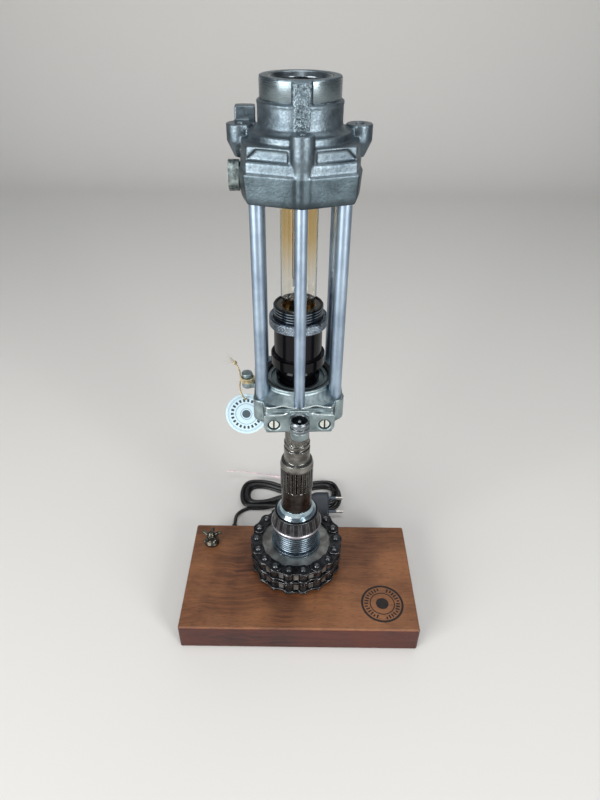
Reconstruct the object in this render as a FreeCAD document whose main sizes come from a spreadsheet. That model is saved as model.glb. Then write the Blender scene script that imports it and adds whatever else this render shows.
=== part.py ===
import FreeCAD, Part
import os
from math import cos, pi, radians, sin, sqrt, tan
import Sketcher
from FreeCAD import Placement, Rotation, Vector

# Table lamp made of machine parts: a wooden base, a duplex chain on its sprocket, a splined shaft,
# two cast housings joined by six tubes, and a long tube bulb in a black threaded lamp holder.
# Millimetres. The origin is the middle of the base's underside, +Z is up and the front faces -Y.

driving_sizes = {
    # Wooden base
    "board_width": 260.0,
    "board_depth": 146.0,
    "board_thickness": 33.0,
    "board_edge": 2.5,
    "foot_radius": 9.0,
    "foot_thickness": 1.6,
    "foot_inset": 17.0,
    "axis_x": -4.4,
    "axis_y": 19.5,
    "cavity_side_wall": 9.0,
    "cavity_right": 30.0,
    "cavity_front": 2.0,
    "cavity_back_wall": 13.0,
    "cavity_depth": 19.0,
    "cover_thickness": 1.5,
    "cover_margin": 6.0,
    "cover_gap": 0.3,
    "cover_screw_inset": 26.0,
    "cover_screw_head": 3.4,
    "cover_screw_core": 1.4,
    "cover_screw_length": 9.0,
    # Fits shared by the whole lamp
    "slip": 0.06,
    "air": 0.3,
    # Duplex chain, 15.875 mm pitch, and its sprocket
    "chain_pitch": 15.875,
    "chain_links": 18,
    "chain_turn": 260.8,
    "strand_spacing": 16.6,
    "roller_radius": 5.08,
    "roller_width": 9.65,
    "pin_radius": 2.54,
    "pin_length": 36.0,
    "plate_thickness": 1.7,
    "plate_radius": 7.1,
    "plate_waist": 5.7,
    "plate_play": 0.08,
    "chain_lift": 3.5,
    "tooth_height": 3.0,
    "tooth_width": 9.1,
    "sprocket_hub_radius": 37.6,
    "sprocket_height": 34.0,
    # Threaded collar with its two bright rings
    "collar_flange_radius": 27.9,
    "collar_ring_height": 2.6,
    "collar_ring_groove": 1.3,
    "collar_thread_radius": 25.2,
    "collar_thread_depth": 1.1,
    "collar_thread_pitch": 3.25,
    "collar_thread_turns": 8,
    # Taper roller bearing without its cup
    "shaft_foot_radius": 13.0,
    "race_rib_radius": 23.4,
    "race_rib_height": 3.3,
    "race_height": 20.4,
    "race_lip_radius": 21.0,
    "bearing_rollers_count": 18,
    "bearing_roller_large": 2.75,
    "bearing_roller_small": 2.5,
    "bearing_roller_length": 14.3,
    "bearing_roller_radius_low": 24.6,
    "bearing_roller_lean": 10.9,
    "bearing_play": 0.08,
    "cage_rim_radius": 27.9,
    "cage_rim_height": 1.4,
    "cage_wall": 1.2,
    # Bright dished ring above the bearing
    "dish_radius": 21.6,
    "dish_edge": 1.3,
    "dish_height": 9.4,
    "dish_top_radius": 17.3,
    # Splined shaft
    "shaft_plain_radius": 16.3,
    "shaft_plain_height": 27.4,
    "spline_radius": 17.2,
    "spline_depth": 1.5,
    "spline_height": 30.3,
    "spline_grooves": 22,
    "shoulder_radius": 17.4,
    "shoulder_height": 1.6,
    "shoulder_taper_height": 5.4,
    "shoulder_top_radius": 16.1,
    "neck_radius": 13.4,
    "neck_height": 17.4,
    "ring_band_height": 10.0,
    "small_spline_radius": 12.2,
    "small_spline_depth": 0.9,
    "small_spline_grooves": 26,
    # Threaded tube that ties the lamp together
    "tube_radius": 5.0,
    "tube_bore": 3.6,
    "nut_flats": 14.0,
    "nut_height": 4.2,
    "washer_radius": 11.0,
    "washer_thickness": 1.2,
    "tube_past_nut": 1.4,
    # Head: both castings and what joins them turn together about the lamp's axis
    "head_turn": 2.5,
    "housing_height": 26.0,
    "head_seat": 258.0,
    "socket_boss_radius": 18.0,
    "socket_boss_height": 7.0,
    "shaft_socket_depth": 16.0,
    "corner_tube_x": 32.5,
    "corner_tube_y": 24.5,
    "centre_tube_y": 41.0,
    "corner_tube_radius": 5.6,
    "centre_tube_radius": 4.7,
    "cage_tube_bore": 3.3,
    "cage_tube_length": 174.0,
    "stud_radius": 2.9,
    "stud_grip": 12.0,
    "lower_lobe_radius": 8.4,
    "lower_lobe_height": 22.0,
    "flange_half_width": 31.4,
    "flange_front": 48.0,
    "flange_thickness": 8.0,
    "flange_step": 3.0,
    "flange_drop": 5.0,
    "flange_height": 18.0,
    "flange_corner": 6.0,
    "flange_screw_x": 22.5,
    "flange_screw_hole": 5.4,
    "flange_screw_radius": 4.2,
    "flange_screw_depth": 6.0,
    "flange_screw_head": 4.5,
    "screw_slot": 1.5,
    "screw_slot_depth": 1.8,
    "port_front": 54.0,
    "port_radius": 9.0,
    "port_bore": 6.8,
    "port_height": 10.0,
    "port_drop": 4.5,
    "port_boss_height": 9.0,
    "port_pin_radius": 1.7,
    "recess_radius": 31.4,
    "recess_depth": 2.0,
    "rim_radius": 34.6,
    "rim_height": 10.5,
    "seal_drop": 1.2,
    "recess_ring_width": 3.0,
    "lug_x": -48.5,
    "lug_y": 24.0,
    "lug_radius": 5.4,
    "lug_drop": 6.0,
    "lug_height": 16.0,
    "lug_web_width": 8.0,
    "lug_web_height": 5.0,
    # Upper casting
    "upper_height": 78.0,
    "upper_front": 47.0,
    "upper_shoulder_x": 40.5,
    "upper_shoulder_y": 36.0,
    "upper_side_x": 44.5,
    "upper_side_y": 20.0,
    "upper_block_height": 21.5,
    "upper_band_height": 7.5,
    "upper_band_inset": 1.6,
    "upper_deck_height": 10.0,
    "upper_deck_inset": 2.6,
    "upper_bore": 27.5,
    "upper_bore_depth": 42.0,
    "shoulder_disc_radius": 38.0,
    "shoulder_disc_height": 5.0,
    "neck_cast_radius": 30.6,
    "neck_cast_height": 18.5,
    "neck_turned_radius": 28.7,
    "neck_bore": 22.4,
    "neck_liner_wall": 2.5,
    "neck_rib_half_width": 6.6,
    "neck_rib_depth": 29.6,
    "front_lobe_radius": 8.6,
    "front_lobe_low_radius": 7.3,
    "front_lobe_above": 4.0,
    "front_lobe_column": 15.0,
    "front_lobe_taper": 8.0,
    "ear_x": 43.5,
    "ear_y": 5.5,
    "ear_radius": 9.8,
    "ear_height": 11.5,
    "ear_taper": 11.5,
    "ear_foot_radius": 4.5,
    "ear_hole": 3.0,
    "window_depth": 2.4,
    "window_height": 8.0,
    "side_plug_radius": 11.0,
    "side_plug_reach": 8.0,
    "side_plug_y": -6.6,
    "side_plug_hex": 6.0,
    "side_plug_hex_depth": 2.5,
    "lug_block_width": 15.0,
    "lug_block_depth": 12.0,
    "lug_block_height": 8.0,
    "lug_block_y": 20.0,
    # Lamp holder
    "holder_foot_height": 23.0,
    "holder_foot_radius": 17.5,
    "holder_cap_radius": 24.2,
    "holder_cap_height": 11.0,
    "holder_cap_wall": 1.6,
    "holder_body_radius": 21.3,
    "holder_body_height": 28.0,
    "holder_wall": 2.2,
    "holder_thread_radius": 21.6,
    "holder_thread_depth": 0.8,
    "holder_thread_pitch": 2.5,
    "holder_thread_turns": 8,
    "ring_radius": 25.6,
    "ring_height": 9.5,
    "ring_knurls": 60,
    "ring_knurl_depth": 0.6,
    "shell_radius": 14.1,
    "shell_wall": 0.5,
    "insulator_height": 12.0,
    "contact_radius": 4.0,
    # Bulb
    "cap_radius": 13.1,
    "cap_ridge": 0.45,
    "cap_pitch": 3.6,
    "cap_height": 23.5,
    "bulb_radius": 15.2,
    "bulb_length": 185.0,
    "glass_wall": 0.9,
    "filament_radius": 0.35,
    "filament_spread": 5.5,
    # Rotary switch and its star handle
    "switch_from_left": 22.4,
    "switch_from_back": 29.0,
    "switch_radius": 10.5,
    "switch_height": 12.0,
    "switch_bush_radius": 5.0,
    "switch_deck": 6.0,
    "switch_nut_height": 2.4,
    "switch_nut_radius": 7.0,
    "switch_shaft_radius": 2.6,
    "handle_skirt_radius": 9.0,
    "handle_skirt_height": 4.2,
    "handle_stem_radius": 4.6,
    "handle_height": 19.0,
    "handle_arm_reach": 12.5,
    "handle_arm_radius": 2.7,
    "handle_arms": 5,
    # Mains lead, its hank, the plug and the tag
    "cord_radius": 2.4,
    "grommet_radius": 6.0,
    "grommet_flange": 1.8,
    "grommet_wall": 1.0,
    "boot_root_radius": 4.9,
    "boot_tip_radius": 3.3,
    "boot_length": 22.0,
    "lead_from_left": 43.5,
    "lead_height": 9.0,
    "riser_radius": 1.3,
    "terminal_width": 16.0,
    "terminal_depth": 12.0,
    "terminal_height": 12.0,
    "terminal_setback": 22.0,
    "hank_from_lead": 73.5,
    "hank_behind": 85.0,
    "hank_half_run": 45.0,
    "hank_inner": 13.2,
    "hank_step": 3.1,
    "hank_dip": 11.0,
    "hank_layer": 5.4,
    "hank_runs_per_layer": 5,
    "plug_width": 35.3,
    "plug_thickness": 13.7,
    "plug_length": 36.0,
    "plug_tilt": 30.0,
    "plug_right_of_hank": 34.0,
    "plug_before_hank": 29.0,
    "plug_rest": 14.8,
    "plug_pin_spacing": 18.6,
    "plug_pin_radius": 2.0,
    "plug_pin_length": 19.0,
    "plug_sleeve_length": 10.0,
    "tie_wall": 0.8,
    "tie_width": 3.2,
    "tie_wire_radius": 0.7,
    "tag_radius": 20.5,
    "tag_thickness": 0.8,
    "tag_hole": 1.1,
    "tag_hole_inset": 5.0,
    "tag_left": 50.6,
    "tag_behind": 8.0,
    "tag_below_lug": 24.0,
    "string_radius": 0.8,
}

doc = FreeCAD.newDocument("table_lamp")
sheet = doc.addObject("Spreadsheet::Sheet", "Sizes")
for row, (alias, number) in enumerate(driving_sizes.items(), start=1):
    sheet.set("A%d" % row, alias.replace("_", " "))
    sheet.set("B%d" % row, str(number))
    sheet.setAlias("B%d" % row, alias)
doc.recompute()


class Size:
    # A number that remembers the sheet expression it is worked out from.
    def __init__(self, value, text):
        self.value = float(value)
        self.text = text

    def __add__(self, other):
        other = as_size(other)
        return Size(self.value + other.value, "(%s + %s)" % (self.text, other.text))

    def __radd__(self, other):
        return as_size(other) + self

    def __sub__(self, other):
        other = as_size(other)
        return Size(self.value - other.value, "(%s - %s)" % (self.text, other.text))

    def __rsub__(self, other):
        return as_size(other) - self

    def __mul__(self, other):
        other = as_size(other)
        return Size(self.value * other.value, "(%s * %s)" % (self.text, other.text))

    def __rmul__(self, other):
        return as_size(other) * self

    def __truediv__(self, other):
        other = as_size(other)
        return Size(self.value / other.value, "(%s / %s)" % (self.text, other.text))

    def __neg__(self):
        return Size(-self.value, "(0 - %s)" % self.text)


def as_size(number):
    return number if isinstance(number, Size) else Size(number, repr(float(number)))


class SheetSizes:
    def __getattr__(self, alias):
        return Size(sheet.get(alias), "Sizes.%s" % alias)


dim = SheetSizes()
pieces = {}


def bind(item, prop, size):
    size = as_size(size)
    item.setExpression(prop, size.text)


def place(item, x=0.0, y=0.0, z=0.0, turn=0.0):
    for axis, size in zip("xyz", (x, y, z)):
        bind(item, "Placement.Base.%s" % axis, size)
    if as_size(turn).value:
        bind(item, "Placement.Rotation.Angle", turn)


def keep(name, item):
    # The finished piece: its label names its node and its file.
    item.Label = name
    pieces[name] = item
    return item


def on_axis(name, item):
    place(item, dim.axis_x, dim.axis_y, deck)
    return keep(name, item)


def on_head(name, item):
    place(item, dim.axis_x, dim.axis_y, deck, dim.head_turn)
    return keep(name, item)


def hold_point(sketch, rules, index, x, y):
    # Fixes the start of line `index` at x, y from the sketch's origin.
    for direction, size, axis in (("DistanceX", as_size(x), -2), ("DistanceY", as_size(y), -1)):
        if abs(size.value) < 1e-9:
            rules.append((Sketcher.Constraint("PointOnObject", index, 1, axis), None))
        elif size.value > 0:
            rules.append((Sketcher.Constraint(direction, -1, 1, index, 1, size.value), size))
        else:
            rules.append((Sketcher.Constraint(direction, index, 1, -1, 1, -size.value), -size))


def closed_outline(sketch, points):
    corners = [Vector(as_size(x).value, as_size(y).value, 0) for x, y in points]
    count = len(corners)
    lines = [Part.LineSegment(corners[i], corners[(i + 1) % count]) for i in range(count)]
    first = sketch.GeometryCount
    sketch.addGeometry(lines, False)
    rules = []
    for i in range(count):
        joint = Sketcher.Constraint("Coincident", first + i, 2, first + (i + 1) % count, 1)
        rules.append((joint, None))
    for i, (x, y) in enumerate(points):
        hold_point(sketch, rules, first + i, x, y)
    start = sketch.ConstraintCount
    sketch.addConstraint([rule for rule, size in rules])
    for i, (rule, size) in enumerate(rules):
        if size is not None:
            sketch.setExpression("Constraints[%d]" % (start + i), size.text)


def circle_at(sketch, x, y, radius):
    x, y, radius = as_size(x), as_size(y), as_size(radius)
    index = sketch.addGeometry(Part.Circle(Vector(x.value, y.value, 0), Vector(0, 0, 1), radius.value))
    rules = [(Sketcher.Constraint("Radius", index, radius.value), radius)]
    for direction, size, axis in (("DistanceX", x, -2), ("DistanceY", y, -1)):
        if abs(size.value) < 1e-9:
            rules.append((Sketcher.Constraint("PointOnObject", index, 3, axis), None))
        elif size.value > 0:
            rules.append((Sketcher.Constraint(direction, -1, 1, index, 3, size.value), size))
        else:
            rules.append((Sketcher.Constraint(direction, index, 3, -1, 1, -size.value), -size))
    start = sketch.ConstraintCount
    sketch.addConstraint([rule for rule, size in rules])
    for i, (rule, size) in enumerate(rules):
        if size is not None:
            sketch.setExpression("Constraints[%d]" % (start + i), size.text)


def new_body(name):
    return doc.addObject("PartDesign::Body", "body_" + name)


def origin_plane(body, role):
    return [item for item in body.Origin.OriginFeatures if item.Role == role][0]


def sketch_in(body, role, name, height=0.0):
    sketch = body.newObject("Sketcher::SketchObject", name)
    sketch.AttachmentSupport = [(origin_plane(body, role), "")]
    sketch.MapMode = "FlatFace"
    if as_size(height).value:
        bind(sketch, "AttachmentOffset.Base.z", height)
    return sketch


def turned(name, points, body=None):
    # A body turned about Z from an outline of radius, height pairs.
    body = body or new_body(name)
    sketch = sketch_in(body, "XZ_Plane", "outline_" + name)
    closed_outline(sketch, points)
    feature = body.newObject("PartDesign::Revolution", "turn_" + name)
    feature.Profile = sketch
    feature.ReferenceAxis = (sketch, ["V_Axis"])
    feature.Angle = 360
    sketch.Visibility = False
    return body


def padded(body, name, points, low, high):
    sketch = sketch_in(body, "XY_Plane", "outline_" + name, low)
    closed_outline(sketch, points)
    feature = body.newObject("PartDesign::Pad", "pad_" + name)
    feature.Profile = sketch
    bind(feature, "Length", high - low)
    return feature


def round_pad(body, name, x, y, radius, low, high):
    sketch = sketch_in(body, "XY_Plane", "outline_" + name, low)
    circle_at(sketch, x, y, radius)
    feature = body.newObject("PartDesign::Pad", "pad_" + name)
    feature.Profile = sketch
    bind(feature, "Length", high - low)
    return feature


def pocket_up(body, name, low, high, points=None, rounds=()):
    # Removes what lies between two heights inside the outline or the circles.
    sketch = sketch_in(body, "XY_Plane", "outline_" + name, low)
    if points:
        closed_outline(sketch, points)
    for x, y, radius in rounds:
        circle_at(sketch, x, y, radius)
    feature = body.newObject("PartDesign::Pocket", "pocket_" + name)
    feature.Profile = sketch
    feature.Reversed = True
    bind(feature, "Length", high - low)
    return feature


def repeat_round(body, features, count, name):
    pattern = body.newObject("PartDesign::PolarPattern", "round_" + name)
    pattern.Originals = features
    pattern.Axis = (features[0].Profile[0], ["N_Axis"])
    pattern.Angle = 360
    bind(pattern, "Occurrences", count)
    body.Tip = pattern
    return pattern


def rectangle(left, right, front, back):
    return [(left, front), (right, front), (right, back), (left, back)]


def cylinder(name, radius, low, high, x=0.0, y=0.0):
    item = doc.addObject("Part::Cylinder", name)
    bind(item, "Radius", radius)
    bind(item, "Height", high - low)
    place(item, x, y, low)
    return item


def cone(name, low_radius, high_radius, low, high, x=0.0, y=0.0):
    item = doc.addObject("Part::Cone", name)
    bind(item, "Radius1", low_radius)
    bind(item, "Radius2", high_radius)
    bind(item, "Height", high - low)
    place(item, x, y, low)
    return item


def box(name, length, width, height, x, y, z):
    item = doc.addObject("Part::Box", name)
    bind(item, "Length", length)
    bind(item, "Width", width)
    bind(item, "Height", height)
    place(item, x, y, z)
    return item


def fused(name, items):
    item = doc.addObject("Part::MultiFuse", name)
    item.Shapes = items
    item.Refine = True
    return item


def without(name, base, tools):
    item = doc.addObject("Part::Cut", name)
    item.Base = base
    item.Tool = tools[0] if len(tools) == 1 else fused(name + "_tools", tools)
    item.Refine = True
    return item


def grouped(name, items):
    item = doc.addObject("Part::Compound", name)
    item.Links = items
    return item


def shaped(name, shape):
    item = doc.addObject("Part::Feature", name)
    item.Shape = shape
    return item


def round_route(points, radius, note):
    # Straight runs joined by tangent arcs, swept by a round section.
    corners = [Vector(*point) for point in points]
    edges = []
    start = corners[0]
    radii = []
    for before, corner, after in zip(corners, corners[1:], corners[2:]):
        arriving = (corner - before).normalize()
        leaving = (after - corner).normalize()
        half_turn = arriving.getAngle(leaving) / 2
        reach = 0.45 * min((corner - before).Length, (after - corner).Length)
        bend = reach / tan(half_turn)
        radii.append(bend)
        enter = corner - arriving * reach
        leave = corner + leaving * reach
        centre_side = (leaving - arriving).normalize()
        middle = corner + centre_side * (bend / cos(half_turn) - bend)
        edges.append(Part.LineSegment(start, enter).toShape())
        edges.append(Part.Arc(enter, middle, leave).toShape())
        start = leave
    edges.append(Part.LineSegment(start, corners[-1]).toShape())
    path = Part.Wire(edges)
    section = Part.Wire([Part.Circle(corners[0], corners[1] - corners[0], radius).toShape()])
    solid = path.makePipeShell([section], True, False)
    expected = pi * radius ** 2 * path.Length
    print("%s: length %.1f, radii %s, volume share %.4f"
          % (note, path.Length, ["%.1f" % value for value in radii], solid.Volume / expected))
    return solid


def arc_between(start, direction, end, reach):
    # The arc from start, along direction, to end; reach is its tangent length.
    corner = start + direction * reach
    chord_middle = (start + end) / 2
    drop = corner - chord_middle
    if drop.Length < 1e-6:
        return Part.LineSegment(start, end).toShape(), None
    half_chord = (end - start).Length / 2
    bend = reach * half_chord / drop.Length
    centre = chord_middle - drop * (half_chord ** 2 / drop.Length ** 2)
    middle = centre + (corner - centre).normalize() * bend
    return Part.Arc(start, middle, end).toShape(), bend


def biarc(start, start_direction, end, end_direction):
    span = end - start
    both = start_direction + end_direction
    spread = 2 * (1 - start_direction.dot(end_direction))
    along = span.dot(both)
    if spread < 1e-9:
        reach = span.dot(span) / (4 * span.dot(start_direction))
    else:
        reach = (-along + sqrt(along ** 2 + spread * span.dot(span))) / spread
    joint = (start + start_direction * reach + end - end_direction * reach) / 2
    first, first_bend = arc_between(start, start_direction, joint, reach)
    back, back_bend = arc_between(end, end_direction * -1, joint, reach)
    second = Part.Arc(joint, back.valueAt((back.FirstParameter + back.LastParameter) / 2), end)
    if back_bend is None:
        return [first, Part.LineSegment(joint, end).toShape()], [first_bend]
    return [first, second.toShape()], [first_bend, back_bend]


deck = dim.foot_thickness + dim.board_thickness

# Wooden base: a block routed out from below, with a cover let in flush.
board_left, board_right = -dim.board_width / 2, dim.board_width / 2
board_front, board_back = -dim.board_depth / 2, dim.board_depth / 2
board_low = dim.foot_thickness
cavity_roof = board_low + dim.cavity_depth
cover_top = board_low + dim.cover_thickness

board = new_body("board")
board_pad = padded(board, "board", rectangle(board_left, board_right, board_front, board_back),
                   board_low, deck)
doc.recompute()
soft_edges = []
for index, edge in enumerate(board_pad.Shape.Edges, start=1):
    if edge.CenterOfMass.z > board_low.value + 1:
        soft_edges.append("Edge%d" % index)
board_round = board.newObject("PartDesign::Fillet", "round_board")
board_round.Base = (board_pad, soft_edges)
bind(board_round, "Radius", dim.board_edge)

cavity_left = board_left + dim.cavity_side_wall
cavity_back = board_back - dim.cavity_back_wall
cavity_width = dim.cavity_right - cavity_left
cavity_length = cavity_back - dim.cavity_front
switch_x = board_left + dim.switch_from_left
switch_y = board_back - dim.switch_from_back
lead_x = board_left + dim.lead_from_left
cavity = box("cavity", cavity_width, cavity_length, dim.cavity_depth,
             cavity_left, dim.cavity_front, board_low)
recess_left = cavity_left - dim.cover_margin
recess_front = dim.cavity_front - dim.cover_margin
recess_width = cavity_width + 2 * dim.cover_margin
recess_length = cavity_length + 2 * dim.cover_margin
cover_recess = box("cover_recess", recess_width, recess_length, dim.cover_thickness,
                   recess_left, recess_front, board_low)
cover_screw_places = []
for x in (recess_left + dim.cover_screw_inset, recess_left + recess_width - dim.cover_screw_inset):
    for y in (recess_front + dim.cover_margin / 2, recess_front + recess_length - dim.cover_margin / 2):
        cover_screw_places.append((x, y))
screw_top = board_low + dim.cover_screw_length


def along_y(name, radius, front, back, x, z):
    # A cylinder that lies along +Y.
    item = doc.addObject("Part::Cylinder", name)
    item.Placement = Placement(Vector(0, 0, 0), Rotation(Vector(1, 0, 0), -90))
    bind(item, "Radius", radius)
    bind(item, "Height", back - front)
    place(item, x, front, z)
    return item


board_holes = [cavity, cover_recess]
board_holes.append(cylinder("rod_hole", dim.tube_radius + dim.slip, cavity_roof, deck,
                            dim.axis_x, dim.axis_y))
switch_ceiling = deck - dim.switch_deck
board_holes.append(cylinder("switch_well", dim.switch_radius + dim.air, cavity_roof, switch_ceiling,
                            switch_x, switch_y))
board_holes.append(cylinder("switch_hole", dim.switch_bush_radius + dim.slip, switch_ceiling, deck,
                            switch_x, switch_y))
grommet_sleeve = dim.cord_radius + dim.grommet_wall
board_holes.append(along_y("cord_hole", grommet_sleeve + dim.slip, cavity_back, board_back,
                           lead_x, dim.lead_height))
board_holes.append(along_y("grommet_seat", dim.grommet_radius + dim.slip, board_back - dim.grommet_flange,
                           board_back, lead_x, dim.lead_height))
for index, (x, y) in enumerate(cover_screw_places):
    board_holes.append(cylinder("board_pilot_%d" % index, dim.cover_screw_core + dim.slip,
                                cover_top, screw_top + dim.air, x, y))
keep("base_board", without("base_board", board, board_holes))

cover_plate = box("cover_plate", recess_width - 2 * dim.cover_gap, recess_length - 2 * dim.cover_gap,
                  dim.cover_thickness, recess_left + dim.cover_gap, recess_front + dim.cover_gap, board_low)
cover_holes = [cylinder("cover_hole_%d" % index, dim.cover_screw_core + dim.slip, board_low, cover_top, x, y)
               for index, (x, y) in enumerate(cover_screw_places)]
keep("base_cover", without("base_cover", cover_plate, cover_holes))

cover_screws = []
for index, (x, y) in enumerate(cover_screw_places):
    core = cylinder("cover_core_%d" % index, dim.cover_screw_core, board_low, screw_top, x, y)
    head = cone("cover_head_%d" % index, dim.cover_screw_head - 0.8, dim.cover_screw_head,
                board_low * 0.25, board_low, x, y)
    cover_screws.append(fused("cover_screw_%d" % index, [core, head]))
keep("cover_screws", grouped("cover_screws", cover_screws))

feet = []
for index, (x, y) in enumerate(((board_left, board_front), (board_right, board_front),
                                (board_right, board_back), (board_left, board_back))):
    inward_x = dim.foot_inset if x.value < 0 else -dim.foot_inset
    inward_y = dim.foot_inset if y.value < 0 else -dim.foot_inset
    feet.append(cylinder("foot_%d" % index, dim.foot_radius, 0, board_low, x + inward_x, y + inward_y))
keep("base_feet", grouped("base_feet", feet))

# Everything on the lamp's axis is drawn with its heights counted from the top of the base.
roof = cavity_roof - deck
washer_low = roof - dim.washer_thickness
base_nut_low = washer_low - dim.nut_height


def hex_nut(name, low, high, bore):
    corner = dim.nut_flats / sqrt(3)
    points = [(corner * cos(radians(angle)), corner * sin(radians(angle))) for angle in range(0, 360, 60)]
    body = new_body(name)
    padded(body, name, points, low, high)
    pocket_up(body, name, low, high, rounds=[(0, 0, bore)])
    return body


on_axis("base_washer", turned("base_washer", [
    (dim.tube_radius + dim.slip, washer_low), (dim.washer_radius, washer_low), (dim.washer_radius, roof),
    (dim.tube_radius + dim.slip, roof)]))
on_axis("base_nut", hex_nut("base_nut", base_nut_low, washer_low, dim.tube_radius + dim.slip))

# Duplex chain closed round its sprocket, both lying flat.
pitch_radius = dim.chain_pitch.value / (2 * sin(pi / dim.chain_links.value))
chain_middle = dim.chain_lift.value + dim.pin_length.value / 2
strand_heights = [chain_middle - dim.strand_spacing.value / 2, chain_middle + dim.strand_spacing.value / 2]
link_step = 360 / dim.chain_links.value
link_count = int(dim.chain_links.value)
pin_angles = [dim.chain_turn.value + link_step * index for index in range(link_count)]
plate_gap = dim.plate_play.value
inner_offset = dim.roller_width.value / 2 + plate_gap
outer_offset = inner_offset + dim.plate_thickness.value + plate_gap


def around(angle, distance, height=0.0):
    return Vector(distance * cos(radians(angle)), distance * sin(radians(angle)), height)


def link_plate(thickness):
    # Figure-of-eight plate: two round ends and two hollow waists, with its pin holes.
    half = dim.chain_pitch.value / 2
    end, waist = dim.plate_radius.value, dim.plate_waist.value
    hollow = (half ** 2 + waist ** 2 - end ** 2) / (2 * (end - waist))
    reach = hollow + waist
    touch = Vector(half - half * end / (end + hollow), reach * end / (end + hollow), 0)
    right_top, right_low = touch, Vector(touch.x, -touch.y, 0)
    left_top, left_low = Vector(-touch.x, touch.y, 0), Vector(-touch.x, -touch.y, 0)
    outline = Part.Wire([
        Part.Arc(right_low, Vector(half + end, 0, 0), right_top).toShape(),
        Part.Arc(right_top, Vector(0, waist, 0), left_top).toShape(),
        Part.Arc(left_top, Vector(-half - end, 0, 0), left_low).toShape(),
        Part.Arc(left_low, Vector(0, -waist, 0), right_low).toShape()])
    plate = Part.Face(outline).extrude(Vector(0, 0, thickness))
    for side in (-half, half):
        hole = Part.makeCylinder(dim.pin_radius.value + dim.slip.value, thickness, Vector(side, 0, 0))
        plate = plate.cut(hole)
    return plate


def link_plates(name, thickness, lows, first):
    # One plate on every second link, at each height in lows.
    plate = link_plate(thickness)
    chord = pitch_radius * cos(radians(link_step / 2))
    copies = []
    for index in range(first, link_count, 2):
        angle = pin_angles[index] + link_step / 2
        for low in lows:
            spot = Placement(around(angle, chord, low), Rotation(Vector(0, 0, 1), angle + 90))
            copy = plate.copy()
            copy.Placement = spot
            copies.append(copy)
    return on_axis(name, shaped(name, Part.makeCompound(copies)))


thick = dim.plate_thickness.value
link_plates("chain_outer_plates", thick,
            [strand_heights[0] - outer_offset - thick, strand_heights[1] + outer_offset], 0)
link_plates("chain_middle_plates", dim.strand_spacing.value - 2 * outer_offset,
            [strand_heights[0] + outer_offset], 0)
inner_lows = [height + side for height in strand_heights for side in (-inner_offset - thick, inner_offset)]
link_plates("chain_inner_plates", thick, inner_lows, 1)

pins = [Part.makeCylinder(dim.pin_radius.value, dim.pin_length.value,
                          around(angle, pitch_radius, dim.chain_lift.value))
        for angle in pin_angles]
on_axis("chain_pins", shaped("chain_pins", Part.makeCompound(pins)))
rollers = []
for angle in pin_angles:
    for height in strand_heights:
        low = height - dim.roller_width.value / 2
        roller = Part.makeCylinder(dim.roller_radius.value, dim.roller_width.value,
                                   around(angle, pitch_radius, low))
        bore = Part.makeCylinder(dim.pin_radius.value + dim.slip.value, dim.roller_width.value,
                                 around(angle, pitch_radius, low))
        rollers.append(roller.cut(bore))
on_axis("chain_rollers", shaped("chain_rollers", Part.makeCompound(rollers)))

# Sprocket: a hub on the base with two toothed discs, one in each strand.
sprocket_top = dim.sprocket_height
hub = turned("sprocket_hub", [
    (dim.tube_radius + dim.slip, 0), (dim.sprocket_hub_radius, 0), (dim.sprocket_hub_radius, sprocket_top),
    (dim.tube_radius + dim.slip, sprocket_top)])
tooth_tip = pitch_radius + dim.tooth_height.value
seat = dim.roller_radius.value + dim.slip.value
discs = []
for height in strand_heights:
    low = height - dim.tooth_width.value / 2
    disc = Part.makeCylinder(tooth_tip, dim.tooth_width.value, Vector(0, 0, low))
    inside = Part.makeCylinder(dim.sprocket_hub_radius.value - 2, dim.tooth_width.value, Vector(0, 0, low))
    disc = disc.cut(inside)
    gaps = []
    for angle in pin_angles:
        middle = around(angle, pitch_radius)
        across = around(angle + 90, 1)
        outward = around(angle, 1)
        mouth = [middle - across * seat, middle + across * seat,
                 middle + across * (seat + 1.4) + outward * 6, middle - across * (seat + 1.4) + outward * 6]
        gap = Part.Face(Part.makePolygon(mouth + mouth[:1])).extrude(Vector(0, 0, dim.tooth_width.value))
        gap.translate(Vector(0, 0, low))
        gaps.append(gap)
        gaps.append(Part.makeCylinder(seat, dim.tooth_width.value, middle + Vector(0, 0, low)))
    discs.append(shaped("toothed_disc_%d" % len(discs), disc.cut(gaps)))
on_axis("duplex_sprocket", fused("duplex_sprocket", [hub] + discs))

# Threaded collar on the sprocket, with two bright rings at its foot.
ring_top = sprocket_top + dim.collar_ring_height
groove_top = ring_top + dim.collar_ring_groove
flange_top = groove_top + dim.collar_ring_height
collar_bore = dim.shaft_foot_radius + dim.slip
thread_root = dim.collar_thread_radius - dim.collar_thread_depth
collar_points = [(collar_bore, sprocket_top), (dim.collar_flange_radius, sprocket_top),
                 (dim.collar_flange_radius, ring_top), (thread_root + 1.2, ring_top),
                 (thread_root + 1.2, groove_top), (dim.collar_flange_radius, groove_top),
                 (dim.collar_flange_radius, flange_top), (thread_root, flange_top)]
collar_turns = int(dim.collar_thread_turns.value)
for turn in range(collar_turns):
    start = flange_top + turn * dim.collar_thread_pitch
    collar_points.append((dim.collar_thread_radius, start + dim.collar_thread_pitch * 0.35))
    collar_points.append((dim.collar_thread_radius, start + dim.collar_thread_pitch * 0.6))
    collar_points.append((thread_root, start + dim.collar_thread_pitch * 0.95))
collar_top = flange_top + collar_turns * dim.collar_thread_pitch
collar_points += [(thread_root, collar_top), (collar_bore, collar_top)]
on_axis("threaded_collar", turned("threaded_collar", collar_points))

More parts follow.
